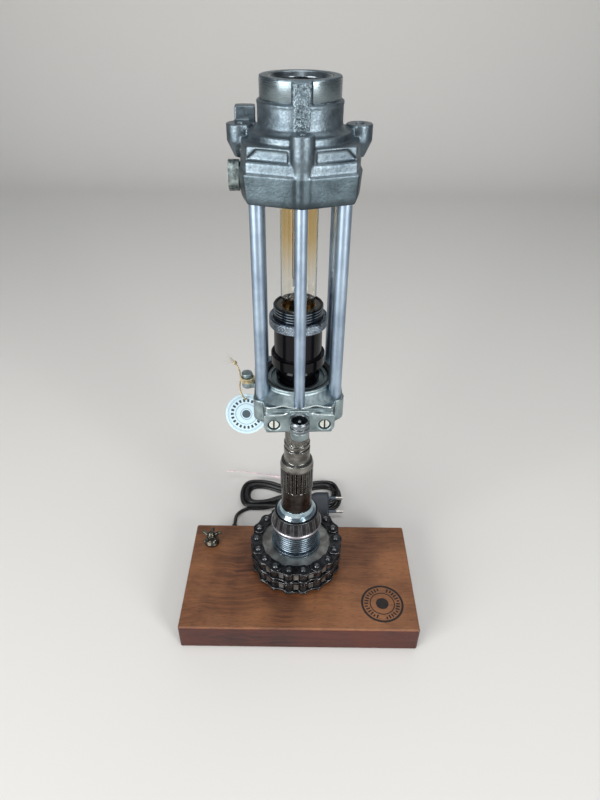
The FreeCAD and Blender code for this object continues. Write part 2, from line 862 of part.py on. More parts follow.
# Taper roller bearing: inner race, rollers and cage. The cup is left off, so the cage turns freely.
race_top = collar_top + dim.race_height
rib_top = collar_top + dim.race_rib_height
lean = radians(dim.bearing_roller_lean.value)
roller_foot = rib_top + 0.9
roller_reach = dim.bearing_roller_length * cos(lean)
roller_top_radius = dim.bearing_roller_radius_low - dim.bearing_roller_length * sin(lean)
track_low = dim.bearing_roller_radius_low - dim.bearing_roller_large / cos(lean) - dim.bearing_play
track_high = roller_top_radius - dim.bearing_roller_small / cos(lean) - dim.bearing_play
lip_low = roller_foot + roller_reach + 0.3
race_points = [(collar_bore, collar_top), (dim.race_rib_radius, collar_top), (dim.race_rib_radius, rib_top),
               (track_low, rib_top), (track_high, lip_low), (dim.race_lip_radius, lip_low),
               (dim.race_lip_radius, race_top), (collar_bore, race_top)]
on_axis("bearing_race", turned("bearing_race", race_points))

tilted = Vector(-sin(lean), 0, cos(lean))


def bearing_roller(angle, growth):
    turn = Rotation(Vector(0, 0, 1), angle)
    direction = turn.multVec(tilted)
    foot = around(angle, dim.bearing_roller_radius_low.value, roller_foot.value) - direction * growth
    return Part.makeCone(dim.bearing_roller_large.value + growth, dim.bearing_roller_small.value + growth,
                         dim.bearing_roller_length.value + 2 * growth, foot, direction)


roller_angles = [360 / dim.bearing_rollers_count.value * index
                 for index in range(int(dim.bearing_rollers_count.value))]
on_axis("bearing_rollers", shaped("bearing_rollers", Part.makeCompound(
    [bearing_roller(angle, 0) for angle in roller_angles])))

rim_low = rib_top - 1.2
rim_top = rim_low + dim.cage_rim_height
cage_inner = dim.race_rib_radius + 2 * dim.air
shell_low = dim.bearing_roller_radius_low + 1.9
shell_high = roller_top_radius + 1.9
cage_lip = lip_low + dim.air
cage_top = race_top - dim.air
cage_points = [(cage_inner, rim_low), (dim.cage_rim_radius, rim_low), (dim.cage_rim_radius, rim_top),
               (shell_low, rim_top + 1.5), (shell_high, cage_top),
               (dim.race_lip_radius + 2 * dim.air, cage_top),
               (dim.race_lip_radius + 2 * dim.air, cage_lip), (shell_high - dim.cage_wall, cage_lip),
               (shell_low - dim.cage_wall, rim_top), (cage_inner, rim_top)]
cage_shell = turned("cage_shell", cage_points)
doc.recompute()
windows = shaped("cage_windows", Part.makeCompound(
    [bearing_roller(angle, dim.bearing_play.value) for angle in roller_angles]))
on_axis("bearing_cage", without("bearing_cage", cage_shell, [windows]))

# Bright dished ring that the shaft's shoulder stands on.
dish_top = race_top + dim.dish_height
dish_points = [(collar_bore, race_top), (dim.dish_radius, race_top),
               (dim.dish_radius, race_top + dim.dish_edge),
               (dim.dish_top_radius + 1.4, race_top + dim.dish_height * 0.45),
               (dim.dish_top_radius, dish_top), (collar_bore, dish_top)]
on_axis("dished_ring", turned("dished_ring", dish_points))

# Splined shaft: a foot through the bearing, a plain part, two splines and turned rings between them.
socket_low = dim.head_seat - dim.housing_height - dim.socket_boss_height
shaft_top = socket_low + dim.shaft_socket_depth - dim.air
spline_low = dish_top + dim.shaft_plain_height
spline_high = spline_low + dim.spline_height
shoulder_low = spline_high + dim.shoulder_height
shoulder_high = shoulder_low + dim.shoulder_taper_height
neck_high = shoulder_high + dim.neck_height
band_high = neck_high + dim.ring_band_height
shaft_bore = dim.tube_radius + dim.slip
shaft_points = [
    (shaft_bore, sprocket_top), (dim.shaft_foot_radius, sprocket_top), (dim.shaft_foot_radius, dish_top),
    (dim.shaft_plain_radius, dish_top), (dim.shaft_plain_radius, spline_low),
    (dim.spline_radius, spline_low + 0.9), (dim.spline_radius, spline_high),
    (dim.shoulder_radius, spline_high), (dim.shoulder_radius, shoulder_low),
    (dim.shoulder_top_radius, shoulder_high),
    (dim.neck_radius, shoulder_high + 2.2), (dim.neck_radius, neck_high),
    (dim.neck_radius - 1.3, neck_high + 1.2), (dim.neck_radius - 1.3, neck_high + 2.6),
    (dim.neck_radius - 0.2, neck_high + 3.2), (dim.neck_radius - 0.2, band_high - 3.4),
    (dim.small_spline_radius, band_high - 2.6), (dim.small_spline_radius, shaft_top), (shaft_bore, shaft_top)]
shaft = turned("splined_shaft", shaft_points)
doc.recompute()


def spline_grooves(body, name, radius, depth, count, low, high, share):
    # Straight-sided grooves cut round the shaft, each share of its step wide.
    half = radius * sin(pi * share / count.value)
    feature = pocket_up(body, name, low, high, points=[
        (-half * 0.8, radius - depth), (half * 0.8, radius - depth), (half, radius + 1), (-half, radius + 1)])
    doc.recompute()
    repeat_round(body, [feature], count, name)


spline_grooves(shaft, "long_spline", dim.spline_radius, dim.spline_depth, dim.spline_grooves,
               spline_low, spline_high - 0.6, 0.5)
spline_grooves(shaft, "small_spline", dim.small_spline_radius, dim.small_spline_depth,
               dim.small_spline_grooves, band_high - 1.2, shaft_top, 0.5)
on_axis("splined_shaft", shaft)

# Lower casting: a block with corner lobes, a raised rim, a front flange and a round port.
seat = dim.head_seat
housing_low = seat - dim.housing_height
block_low = seat - dim.lower_lobe_height
tube_places = []
for side_x in (-1, 1):
    for side_y in (-1, 1):
        tube_places.append((side_x * dim.corner_tube_x, side_y * dim.corner_tube_y, dim.corner_tube_radius))
tube_places.append((as_size(0.0), -dim.centre_tube_y, dim.centre_tube_radius))
tube_places.append((as_size(0.0), dim.centre_tube_y, dim.centre_tube_radius))

block_front = dim.flange_front - dim.flange_step
side = dim.corner_tube_x + dim.lower_lobe_radius - 0.8
wide = dim.flange_half_width - 2


def mirrored(points):
    # The right half of an outline, front to back, completed with its left half.
    return points + [(-x, y) for x, y in reversed(points)]


lower_block = new_body("lower_block")
padded(lower_block, "lower_block", mirrored([
    (wide, -block_front), (dim.corner_tube_x, -dim.corner_tube_y - 6), (side, -dim.corner_tube_y),
    (side, dim.corner_tube_y), (dim.corner_tube_x, dim.corner_tube_y + 6), (wide, block_front)]),
    housing_low, seat)
lower_parts = [lower_block]
lower_parts.append(cylinder("lower_rim", dim.rim_radius, housing_low, seat + dim.rim_height))
lower_parts.append(cylinder("lower_boss", dim.socket_boss_radius, socket_low, housing_low))
for index, (x, y, radius) in enumerate(tube_places[:4]):
    lower_parts.append(cylinder("lower_lobe_%d" % index, dim.lower_lobe_radius, block_low, seat, x, y))
flange_top_height = seat - dim.flange_drop
flange_low = flange_top_height - dim.flange_height
flange_straight = dim.flange_half_width - dim.flange_corner
for index, front in enumerate((-dim.flange_front, dim.flange_front - dim.flange_thickness)):
    lower_parts.append(box("flange_%d" % index, 2 * dim.flange_half_width, dim.flange_thickness,
                           dim.flange_height - dim.flange_corner,
                           -dim.flange_half_width, front, flange_low + dim.flange_corner))
    lower_parts.append(box("flange_foot_%d" % index, 2 * flange_straight, dim.flange_thickness,
                           dim.flange_corner, -flange_straight, front, flange_low))
    for x in (-flange_straight, flange_straight):
        lower_parts.append(along_y("flange_corner_%d_%d" % (index, x.value > 0), dim.flange_corner,
                                   front, front + dim.flange_thickness, x, flange_low + dim.flange_corner))
port_top = seat - dim.port_drop
port_low = port_top - dim.port_height
boss_low = port_low - dim.port_boss_height
lower_parts.append(cone("port_boss", dim.port_radius - 1.2, dim.port_radius - 0.3, boss_low, port_low,
                        0, -dim.port_front))
lug_low = seat - dim.lug_drop - dim.lug_height
lower_parts.append(cylinder("tag_lug", dim.lug_radius, lug_low, lug_low + dim.lug_height,
                            dim.lug_x, dim.lug_y))
lower_parts.append(box("tag_lug_web", -dim.corner_tube_x - dim.lug_x, dim.lug_web_width, dim.lug_web_height,
                       dim.lug_x, dim.lug_y - dim.lug_web_width / 2, lug_low))

flange_screw_z = flange_low + dim.flange_height * 0.42
lower_cuts = [cylinder("shaft_socket", dim.small_spline_radius + dim.slip, socket_low,
                       socket_low + dim.shaft_socket_depth)]
lower_cuts.append(cylinder("lower_tube_hole", dim.tube_radius + dim.slip, socket_low, seat))
lower_cuts.append(cylinder("lower_recess", dim.recess_radius, seat - dim.recess_depth, seat + dim.rim_height))
lower_cuts.append(cylinder("port_seat", dim.port_radius + dim.slip, port_low, seat + 1, 0, -dim.port_front))
lower_cuts.append(cylinder("port_well", dim.port_bore, port_low - 4, port_low, 0, -dim.port_front))
for index, x in enumerate((-dim.flange_screw_x, dim.flange_screw_x)):
    lower_cuts.append(along_y("flange_screw_hole_%d" % index, dim.flange_screw_hole, -dim.flange_front,
                              -dim.flange_front + dim.flange_screw_depth, x, flange_screw_z))
for index, (x, y, radius) in enumerate(tube_places):
    lower_cuts.append(cylinder("lower_stud_hole_%d" % index, dim.stud_radius + dim.slip,
                               seat - dim.stud_grip, seat, x, y))
on_head("lower_housing", without("lower_housing", fused("lower_solid", lower_parts), lower_cuts))

# What sits in the lower casting: seal, port ring with its pin, and the slotted screws.
recess_floor = seat - dim.recess_depth
seal_top = seat + dim.rim_height - dim.seal_drop
seal_outer = dim.recess_radius - dim.slip
seal_inner = dim.recess_radius - dim.recess_ring_width
on_head("recess_seal", turned("recess_seal", [
    (seal_inner, recess_floor), (seal_outer, recess_floor), (seal_outer, seal_top),
    (seal_inner + 1, seal_top), (seal_inner, seal_top - 1)]))
port_fitting = turned("port_fitting", [
    (0, port_low - 3), (dim.port_bore - dim.slip, port_low - 3), (dim.port_bore - dim.slip, port_low),
    (dim.port_radius, port_low), (dim.port_radius, port_low + dim.port_height * 0.3),
    (dim.port_radius - 1.2, port_low + dim.port_height * 0.36),
    (dim.port_radius - 1.2, port_low + dim.port_height * 0.48),
    (dim.port_radius, port_low + dim.port_height * 0.54), (dim.port_radius, port_top - 1.6),
    (dim.port_radius - 1.0, port_top), (dim.port_bore + 0.8, port_top), (dim.port_bore, port_top - 0.8),
    (dim.port_bore, port_low - 1), (dim.port_pin_radius, port_low - 1), (dim.port_pin_radius, port_top - 2),
    (dim.port_pin_radius - 0.8, port_top - 1), (0, port_top - 1)])


def beside_axis(item, x, y, name):
    # Places a piece drawn on its own axis at x, y of the turned head.
    turn = "Sizes.head_turn * 1deg"
    x, y = as_size(x), as_size(y)
    for prop, text in (("x", "Sizes.axis_x + %s * cos(%s) - %s * sin(%s)" % (x.text, turn, y.text, turn)),
                       ("y", "Sizes.axis_y + %s * sin(%s) + %s * cos(%s)" % (x.text, turn, y.text, turn)),
                       ("z", deck.text)):
        item.setExpression("Placement.Base.%s" % prop, text)
    bind(item, "Placement.Rotation.Angle", dim.head_turn)
    return keep(name, item)


beside_axis(port_fitting, 0.0, -dim.port_front, "port_fitting")

flange_screws = []
screw_back = -dim.flange_front + dim.flange_screw_depth
screw_front = screw_back - dim.flange_screw_head
for index, x in enumerate((-dim.flange_screw_x, dim.flange_screw_x)):
    head = along_y("flange_screw_%d" % index, dim.flange_screw_radius, screw_front, screw_back,
                   x, flange_screw_z)
    slot = box("flange_slot_%d" % index, dim.screw_slot, dim.screw_slot_depth, 2 * dim.flange_screw_radius,
               x - dim.screw_slot / 2, screw_front, flange_screw_z - dim.flange_screw_radius)
    flange_screws.append(without("slotted_screw_%d" % index, head, [slot]))
on_head("flange_screws", grouped("flange_screws", flange_screws))

# Six tubes carry the upper casting; a threaded stud runs through each.
upper_low = seat + dim.cage_tube_length
studs, tubes = [], []
for index, (x, y, radius) in enumerate(tube_places):
    outer = cylinder("tube_outer_%d" % index, radius, seat, upper_low, x, y)
    inner = cylinder("tube_bore_%d" % index, dim.cage_tube_bore, seat, upper_low, x, y)
    tubes.append(without("tube_%d" % index, outer, [inner]))
    studs.append(cylinder("stud_%d" % index, dim.stud_radius, seat - dim.stud_grip,
                          upper_low + dim.stud_grip, x, y))
on_head("corner_tubes", grouped("corner_tubes", tubes[:4]))
on_head("centre_tubes", grouped("centre_tubes", tubes[4:]))
on_head("cage_studs", grouped("cage_studs", studs))

# Upper casting: a hollow six-sided block, a stepped deck, two ears, two lobes and a round neck.
block_high = upper_low + dim.upper_block_height
band_top = block_high + dim.upper_band_height
deck_top = band_top + dim.upper_deck_height
disc_top = deck_top + dim.shoulder_disc_height
neck_step = disc_top + dim.neck_cast_height
neck_top = upper_low + dim.upper_height


def upper_plan(inset):
    nose = dim.front_lobe_low_radius - 0.6
    return mirrored([(nose, -(dim.upper_front - inset)),
                     (dim.upper_shoulder_x - inset, -(dim.upper_shoulder_y - inset)),
                     (dim.upper_side_x - inset, -(dim.upper_side_y - inset * 0.5)),
                     (dim.upper_side_x - inset, dim.upper_side_y - inset * 0.5),
                     (dim.upper_shoulder_x - inset, dim.upper_shoulder_y - inset),
                     (nose, dim.upper_front - inset)])


upper_block = new_body("upper_block")
padded(upper_block, "upper_block", upper_plan(0), upper_low, block_high)
padded(upper_block, "upper_band", upper_plan(dim.upper_band_inset), block_high, band_top)
padded(upper_block, "upper_deck", upper_plan(dim.upper_deck_inset), band_top, deck_top)
upper_parts = [upper_block]
upper_parts.append(cylinder("shoulder_disc", dim.shoulder_disc_radius, deck_top - 2, disc_top))
upper_parts.append(cylinder("neck_cast", dim.neck_cast_radius, disc_top, neck_step))
upper_parts.append(cylinder("neck_turned", dim.neck_turned_radius, neck_step, neck_top))
upper_parts.append(box("neck_rib", 2 * dim.neck_rib_half_width, dim.neck_rib_depth, neck_top - 1.2 - disc_top,
                       -dim.neck_rib_half_width, -dim.neck_rib_depth, disc_top))
lobe_top = disc_top + dim.front_lobe_above
lobe_step = lobe_top - dim.front_lobe_column
lobe_foot = lobe_step - dim.front_lobe_taper
for index, y in enumerate((-dim.centre_tube_y, dim.centre_tube_y)):
    upper_parts.append(cylinder("lobe_%d" % index, dim.front_lobe_radius, lobe_step, lobe_top, 0, y))
    upper_parts.append(cone("lobe_taper_%d" % index, dim.front_lobe_low_radius, dim.front_lobe_radius,
                            lobe_foot, lobe_step, 0, y))
    upper_parts.append(cylinder("lobe_low_%d" % index, dim.front_lobe_low_radius, upper_low, lobe_foot, 0, y))
ear_top = disc_top + 2.5
ear_step = ear_top - dim.ear_height
ear_low = ear_step - dim.ear_taper
for index, x in enumerate((-dim.ear_x, dim.ear_x)):
    upper_parts.append(cylinder("ear_%d" % index, dim.ear_radius, ear_step, ear_top, x, dim.ear_y))
    upper_parts.append(cone("ear_taper_%d" % index, dim.ear_foot_radius, dim.ear_radius,
                            ear_low, ear_step, x, dim.ear_y))
upper_parts.append(box("lug_block", dim.lug_block_width, dim.lug_block_depth, dim.lug_block_height + 8,
                       -dim.ear_x - 4, dim.lug_block_y - dim.lug_block_depth / 2, disc_top - 4))

upper_cuts = [cylinder("upper_hollow", dim.upper_bore, upper_low, upper_low + dim.upper_bore_depth)]
upper_cuts.append(cylinder("neck_bore", dim.neck_bore, upper_low + dim.upper_bore_depth, neck_top))
for index, (x, y, radius) in enumerate(tube_places):
    upper_cuts.append(cylinder("upper_stud_hole_%d" % index, dim.stud_radius + dim.slip,
                               upper_low, upper_low + dim.stud_grip, x, y))
for index, x in enumerate((-dim.ear_x, dim.ear_x)):
    upper_cuts.append(cylinder("ear_hole_%d" % index, dim.ear_hole, ear_step, ear_top, x, dim.ear_y))
for index, y in enumerate((-dim.centre_tube_y, dim.centre_tube_y)):
    upper_cuts.append(cylinder("lobe_hole_%d" % index, dim.ear_hole, lobe_step, lobe_top, 0, y))
window_inset = dim.upper_deck_inset.value


def window_cutter(side_x, side_y):
    # A shallow trapezoid pocket in one swept face of the deck.
    near = Vector(dim.front_lobe_radius.value + 1.5, dim.upper_front.value - window_inset, 0)
    far = Vector(dim.upper_shoulder_x.value - window_inset, dim.upper_shoulder_y.value - window_inset, 0)
    along = (far - near).normalize()
    inward = Vector(-along.y, along.x, 0)
    if inward.dot(near) > 0:
        inward = inward * -1
    low, high = band_top.value + 0.8, band_top.value + 0.8 + dim.window_height.value
    face_at = [near + Vector(0, 0, low), far + along * 2 + Vector(0, 0, low),
               far - along * 7 + Vector(0, 0, high), near + Vector(0, 0, high)]
    corners = [Vector(point.x * side_x, point.y * side_y, point.z) for point in face_at]
    push = Vector(inward.x * side_x, inward.y * side_y, 0)
    start = [corner - push * 6 for corner in corners]
    return Part.Face(Part.makePolygon(start + start[:1])).extrude(push * (6 + dim.window_depth.value))


windows = [window_cutter(side_x, side_y) for side_x in (-1, 1) for side_y in (-1, 1)]
upper_cuts.append(shaped("deck_windows", Part.makeCompound(windows)))
on_head("upper_housing", without("upper_housing", fused("upper_solid", upper_parts), upper_cuts))

liner_outer = dim.neck_bore - dim.slip
liner_inner = dim.neck_bore - dim.neck_liner_wall
liner_low = upper_low + dim.upper_bore_depth
on_head("neck_liner", turned("neck_liner", [
    (liner_inner, liner_low), (liner_outer, liner_low), (liner_outer, neck_top - 1.4),
    (liner_outer - 1, neck_top - 0.4), (liner_inner, neck_top - 0.4)]))

plug_z = upper_low + dim.upper_block_height * 0.62
side_plug = doc.addObject("Part::Cylinder", "side_plug_head")
side_plug.Placement = Placement(Vector(0, 0, 0), Rotation(Vector(0, 1, 0), -90))
bind(side_plug, "Radius", dim.side_plug_radius)
bind(side_plug, "Height", dim.side_plug_reach)
place(side_plug, -dim.upper_side_x, dim.side_plug_y, plug_z)
plug_socket = box("side_plug_socket", dim.side_plug_hex_depth, dim.side_plug_hex, dim.side_plug_hex,
                  -dim.upper_side_x - dim.side_plug_reach, dim.side_plug_y - dim.side_plug_hex / 2,
                  plug_z - dim.side_plug_hex / 2)
on_head("side_plug", without("side_plug", side_plug, [plug_socket]))

# Lamp holder: turned foot, cap with the nut inside, body with its thread, and the knurled ring.
foot_low = recess_floor
foot_high = foot_low + dim.holder_foot_height
tube_clear = dim.tube_radius + dim.slip
on_axis("holder_foot", turned("holder_foot", [
    (tube_clear, foot_low), (dim.holder_foot_radius + 3, foot_low),
    (dim.holder_foot_radius + 3, foot_low + 3), (dim.holder_foot_radius, foot_low + 4.5),
    (dim.holder_foot_radius, foot_low + 8),
    (dim.holder_foot_radius + 2.6, foot_low + 9.2), (dim.holder_foot_radius + 2.6, foot_low + 11.4),
    (dim.holder_foot_radius - 1, foot_low + 12.6), (dim.holder_foot_radius - 1, foot_low + 16),
    (dim.holder_foot_radius + 2, foot_low + 17.2), (dim.holder_foot_radius + 2, foot_low + 19),
    (dim.holder_foot_radius, foot_high), (tube_clear, foot_high)]))
cap_low = foot_high
cap_high = cap_low + dim.holder_cap_height
cap_inner = dim.holder_cap_radius - dim.holder_cap_wall
holder_floor = cap_low + dim.holder_cap_wall
on_axis("holder_cap", turned("holder_cap", [
    (tube_clear, cap_low), (dim.holder_cap_radius - 2.4, cap_low), (dim.holder_cap_radius, cap_low + 2),
    (dim.holder_cap_radius, cap_high), (cap_inner, cap_high), (cap_inner, holder_floor),
    (tube_clear, holder_floor)]))
holder_nut_high = holder_floor + dim.nut_height
on_axis("holder_nut", hex_nut("holder_nut", holder_floor, holder_nut_high, dim.tube_radius + dim.slip))
tube_top = holder_nut_high + dim.tube_past_nut
tube_low = base_nut_low - dim.tube_past_nut
on_axis("threaded_tube", turned("threaded_tube", [
    (dim.tube_bore, tube_low), (dim.tube_radius, tube_low), (dim.tube_radius, tube_top),
    (dim.tube_bore, tube_top)]))

body_low = cap_high
thread_low = body_low + dim.holder_body_height
sleeve_bore = dim.holder_body_radius - dim.holder_wall
thread_core = dim.holder_thread_radius - dim.holder_thread_depth
body_points = [(sleeve_bore, body_low - 5), (cap_inner - dim.slip, body_low - 5),
               (cap_inner - dim.slip, body_low), (dim.holder_body_radius, body_low + 0.4),
               (dim.holder_body_radius, thread_low - 0.4),
               (thread_core, thread_low)]
holder_turns = int(dim.holder_thread_turns.value)
for turn in range(holder_turns):
    start = thread_low + turn * dim.holder_thread_pitch
    body_points.append((dim.holder_thread_radius, start + dim.holder_thread_pitch * 0.35))
    body_points.append((dim.holder_thread_radius, start + dim.holder_thread_pitch * 0.6))
    body_points.append((thread_core, start + dim.holder_thread_pitch * 0.95))
sleeve_top = thread_low + holder_turns * dim.holder_thread_pitch
body_points += [(thread_core, sleeve_top), (sleeve_bore, sleeve_top)]
on_axis("holder_body", turned("holder_body", body_points))

ring_low = thread_low + 0.2
ring_high = ring_low + dim.ring_height
ring_bore = dim.holder_thread_radius + dim.slip
knurled = turned("shade_ring", [
    (ring_bore, ring_low), (dim.ring_radius - 1, ring_low), (dim.ring_radius, ring_low + 1),
    (dim.ring_radius, ring_high - 1), (dim.ring_radius - 1, ring_high), (ring_bore, ring_high)])
doc.recompute()
spline_grooves(knurled, "knurls", dim.ring_radius, dim.ring_knurl_depth, dim.ring_knurls,
               ring_low, ring_high, 0.45)
on_axis("shade_ring", knurled)

insulator_low = body_low + 1
insulator_high = sleeve_top - 0.8
insulator_floor = insulator_low + dim.insulator_height
shell_outer = dim.shell_radius + dim.shell_wall
on_axis("holder_insulator", turned("holder_insulator", [
    (0, insulator_low), (sleeve_bore - dim.slip, insulator_low), (sleeve_bore - dim.slip, insulator_high),
    (shell_outer + dim.slip, insulator_high), (shell_outer + dim.slip, insulator_floor),
    (0, insulator_floor)]))
on_axis("socket_shell", turned("socket_shell", [
    (dim.shell_radius, insulator_floor), (shell_outer, insulator_floor), (shell_outer, insulator_high - 1),
    (dim.shell_radius, insulator_high - 1)]))
contact_high = insulator_floor + 1.6
on_axis("centre_contact", turned("centre_contact", [
    (0, insulator_floor), (dim.contact_radius + 1, insulator_floor), (dim.contact_radius, contact_high),
    (0, contact_high)]))

# Bulb: contact, insulator, ridged cap, tubular glass with a domed end, stem and filament.
bulb_low = contact_high + dim.air
vitrite_low = bulb_low + 1.8
cap_start = vitrite_low + 2.6
bulb_cap_top = cap_start + dim.cap_height
on_axis("bulb_contact", turned("bulb_contact", [
    (0, bulb_low), (dim.contact_radius - 1, bulb_low), (dim.contact_radius, vitrite_low), (0, vitrite_low)]))
on_axis("bulb_insulator", turned("bulb_insulator", [
    (0, vitrite_low), (dim.contact_radius + 1, vitrite_low), (dim.cap_radius - 1.5, cap_start),
    (0, cap_start)]))
ridge_radius = dim.cap_radius + dim.cap_ridge
cap_points = [(0, cap_start), (dim.cap_radius - 1.0, cap_start)]
ridge_count = 5
for ridge in range(ridge_count):
    start = cap_start + 1.5 + ridge * dim.cap_pitch
    cap_points += [(dim.cap_radius - 0.6, start), (ridge_radius, start + dim.cap_pitch * 0.5)]
cap_points += [(dim.cap_radius - 0.6, cap_start + 1.5 + ridge_count * dim.cap_pitch),
               (dim.cap_radius, bulb_cap_top), (0, bulb_cap_top)]
on_axis("bulb_cap", turned("bulb_cap", cap_points))

bulb_top = bulb_low + dim.bulb_length
glass_neck = dim.cap_radius - 0.9
swell_low, swell_high = bulb_cap_top + 3.0, bulb_cap_top + 14.0


def glass_form(name, shrink):
    radius = dim.bulb_radius - shrink
    dome = doc.addObject("Part::Sphere", name + "_dome")
    bind(dome, "Radius", radius)
    place(dome, 0, 0, bulb_top - dim.bulb_radius)
    return fused(name, [
        cylinder(name + "_neck", glass_neck - shrink, bulb_cap_top, swell_low),
        cone(name + "_swell", glass_neck - shrink, radius, swell_low, swell_high),
        cylinder(name + "_tube", radius, swell_high, bulb_top - dim.bulb_radius), dome])


on_axis("bulb_glass", without("bulb_glass", glass_form("glass_outside", 0.0),
                              [glass_form("glass_inside", dim.glass_wall)]))
stem_top = bulb_top - 32
on_axis("bulb_stem", turned("bulb_stem", [
    (0, bulb_cap_top), (8.5, bulb_cap_top), (6.0, bulb_cap_top + 5), (2.4, bulb_cap_top + 16),
    (1.5, bulb_cap_top + 22), (1.3, stem_top), (2.2, stem_top + 1.5), (0, stem_top + 3)]))

filament_low, filament_high = bulb_cap_top.value + 26, stem_top.value - 3
spread = dim.filament_spread.value
filament_points = []
for index, angle in enumerate((20, 90, 160, 230, 300)):
    heights = (filament_low, filament_high) if index % 2 == 0 else (filament_high, filament_low)
    filament_points += [around(angle, spread, height) for height in heights]
stem_side = 2.25 + dim.air.value + dim.filament_radius.value
filament_start = [around(20, stem_side, filament_low - 9), around(20, spread, filament_low - 4)]
filament_points = filament_start + filament_points[1:]
on_axis("bulb_filament", shaped("bulb_filament", round_route(
    filament_points, dim.filament_radius.value, "filament")))

# Rotary switch under the base's top, with its star handle above.
switch_low = switch_ceiling - dim.switch_height


def on_switch(name, item):
    place(item, switch_x, switch_y)
    return keep(name, item)


bush_clear = dim.switch_shaft_radius + dim.slip
bush_top = deck + 4.2
on_switch("switch_body", turned("switch_body", [
    (0, switch_low), (dim.switch_radius, switch_low), (dim.switch_radius, switch_ceiling),
    (dim.switch_bush_radius, switch_ceiling), (dim.switch_bush_radius, bush_top), (bush_clear, bush_top),
    (bush_clear, switch_low + 3), (0, switch_low + 3)]))
nut_top = deck + dim.switch_nut_height
on_switch("switch_nut", turned("switch_nut", [
    (dim.switch_bush_radius + dim.slip, deck), (dim.switch_nut_radius, deck),
    (dim.switch_nut_radius, nut_top), (dim.switch_bush_radius + dim.slip, nut_top)]))
spindle_low = switch_low + 3 + dim.air
spindle_top = deck + dim.handle_height - 4
on_switch("switch_spindle", turned("switch_spindle", [
    (0, spindle_low), (dim.switch_shaft_radius, spindle_low), (dim.switch_shaft_radius, spindle_top),
    (0, spindle_top)]))
skirt_low = deck + 0.4
skirt_roof = bush_top + dim.air
handle_top = deck + dim.handle_height
handle_core = turned("handle_core", [
    (dim.switch_shaft_radius + dim.slip, skirt_roof), (dim.switch_nut_radius + dim.air, skirt_roof),
    (dim.switch_nut_radius + dim.air, skirt_low), (dim.handle_skirt_radius, skirt_low),
    (dim.handle_skirt_radius, skirt_low + dim.handle_skirt_height),
    (dim.handle_stem_radius + 1.5, skirt_roof + 2.5),
    (dim.handle_stem_radius, deck + dim.handle_height * 0.5), (dim.handle_stem_radius + 0.6, handle_top - 4),
    (dim.handle_stem_radius - 1.6, handle_top), (0, handle_top), (0, spindle_top + dim.slip),
    (dim.switch_shaft_radius + dim.slip, spindle_top + dim.slip)])
arm_low = deck + dim.handle_height * 0.42
arm_reach = dim.handle_arm_reach.value
arms = []
arm_count = int(dim.handle_arms.value)
for index in range(arm_count):
    angle = 360 / arm_count * index + 14
    rise = (5.5, 2.0, 4.2, 1.2, 3.4)[index % 5]
    root = around(angle, dim.handle_stem_radius.value - 0.6, arm_low.value + 2.5)
    tip = around(angle, arm_reach - dim.handle_arm_radius.value * 0.5, arm_low.value + 2.5 + rise)
    arm = Part.makeCone(dim.handle_arm_radius.value, dim.handle_arm_radius.value * 0.62, (tip - root).Length,
                        root, tip - root)
    arms.append(shaped("handle_arm_%d" % index, arm))
    arms.append(shaped("handle_tip_%d" % index, Part.makeSphere(dim.handle_arm_radius.value * 0.8, tip)))
spindle_bore = cylinder("spindle_bore", bush_clear, skirt_roof, spindle_top + dim.slip)
handle_solid = fused("handle_solid", [handle_core] + arms)
on_switch("switch_handle", without("switch_handle", handle_solid, [spindle_bore]))

# Inner wiring: terminal block in the cavity, the lead's inner end, and the riser through the tube.
wire_z = dim.lead_height.value
terminal_back = cavity_back - dim.terminal_setback
terminal = box("terminal_block", dim.terminal_width, dim.terminal_depth, dim.terminal_height,
               lead_x - dim.terminal_width / 2, terminal_back - dim.terminal_depth, cover_top)
keep("terminal_block", terminal)
boot_tip = board_back + dim.boot_length
keep("inner_lead", along_y("inner_lead", dim.cord_radius, terminal_back, boot_tip, lead_x, dim.lead_height))
axis_x, axis_y = dim.axis_x.value, dim.axis_y.value
riser_radius = dim.riser_radius.value
riser_start = Vector((lead_x + dim.terminal_width / 2).value,
                     (terminal_back - dim.terminal_depth / 2).value, wire_z)
riser_low = cover_top.value + riser_radius + 0.8
riser_top = (deck + tube_top).value + 3
riser_points = [riser_start, riser_start + Vector(16, 0, 0), (axis_x - 41, riser_start.y - 4, riser_low),
                (axis_x - 20, axis_y, riser_low), (axis_x, axis_y, riser_low), (axis_x, axis_y, riser_top)]
keep("riser_cable", shaped("riser_cable", round_route(riser_points, riser_radius, "riser cable")))

# Rubber strain relief let into the back of the base: a sleeve, a flange and a tapered boot round the lead.
sleeve_start = cavity_back - board_back
grommet = doc.addObject("PartDesign::Body", "body_cord_grommet")
turned("cord_grommet", [
    (dim.cord_radius + dim.slip, sleeve_start), (grommet_sleeve, sleeve_start),
    (grommet_sleeve, -dim.grommet_flange), (dim.grommet_radius, -dim.grommet_flange), (dim.grommet_radius, 0),
    (dim.boot_root_radius, 0), (dim.boot_tip_radius, dim.boot_length),
    (dim.cord_radius + dim.slip, dim.boot_length)], grommet)
grommet.Placement = Placement(Vector(0, 0, 0), Rotation(Vector(1, 0, 0), -90))
place(grommet, lead_x, board_back, dim.lead_height)
keep("cord_grommet", grommet)

# Free lead: out of the boot, down to the table and round to the hank.
lead_side, lead_rise = lead_x.value, dim.lead_height.value
cord_radius = dim.cord_radius.value
cord_size = 2 * cord_radius
hank_x = lead_side + dim.hank_from_lead.value
hank_y = board_back.value + dim.hank_behind.value
half_run = dim.hank_half_run.value
step = dim.hank_step.value
layer_runs = int(dim.hank_runs_per_layer.value)
run_count = 2 * layer_runs - 1
offsets = [dim.hank_inner.value + step * abs(layer_runs - 1 - run) for run in range(run_count)]
layer_one, layer_two = cord_radius, cord_radius + dim.hank_layer.value


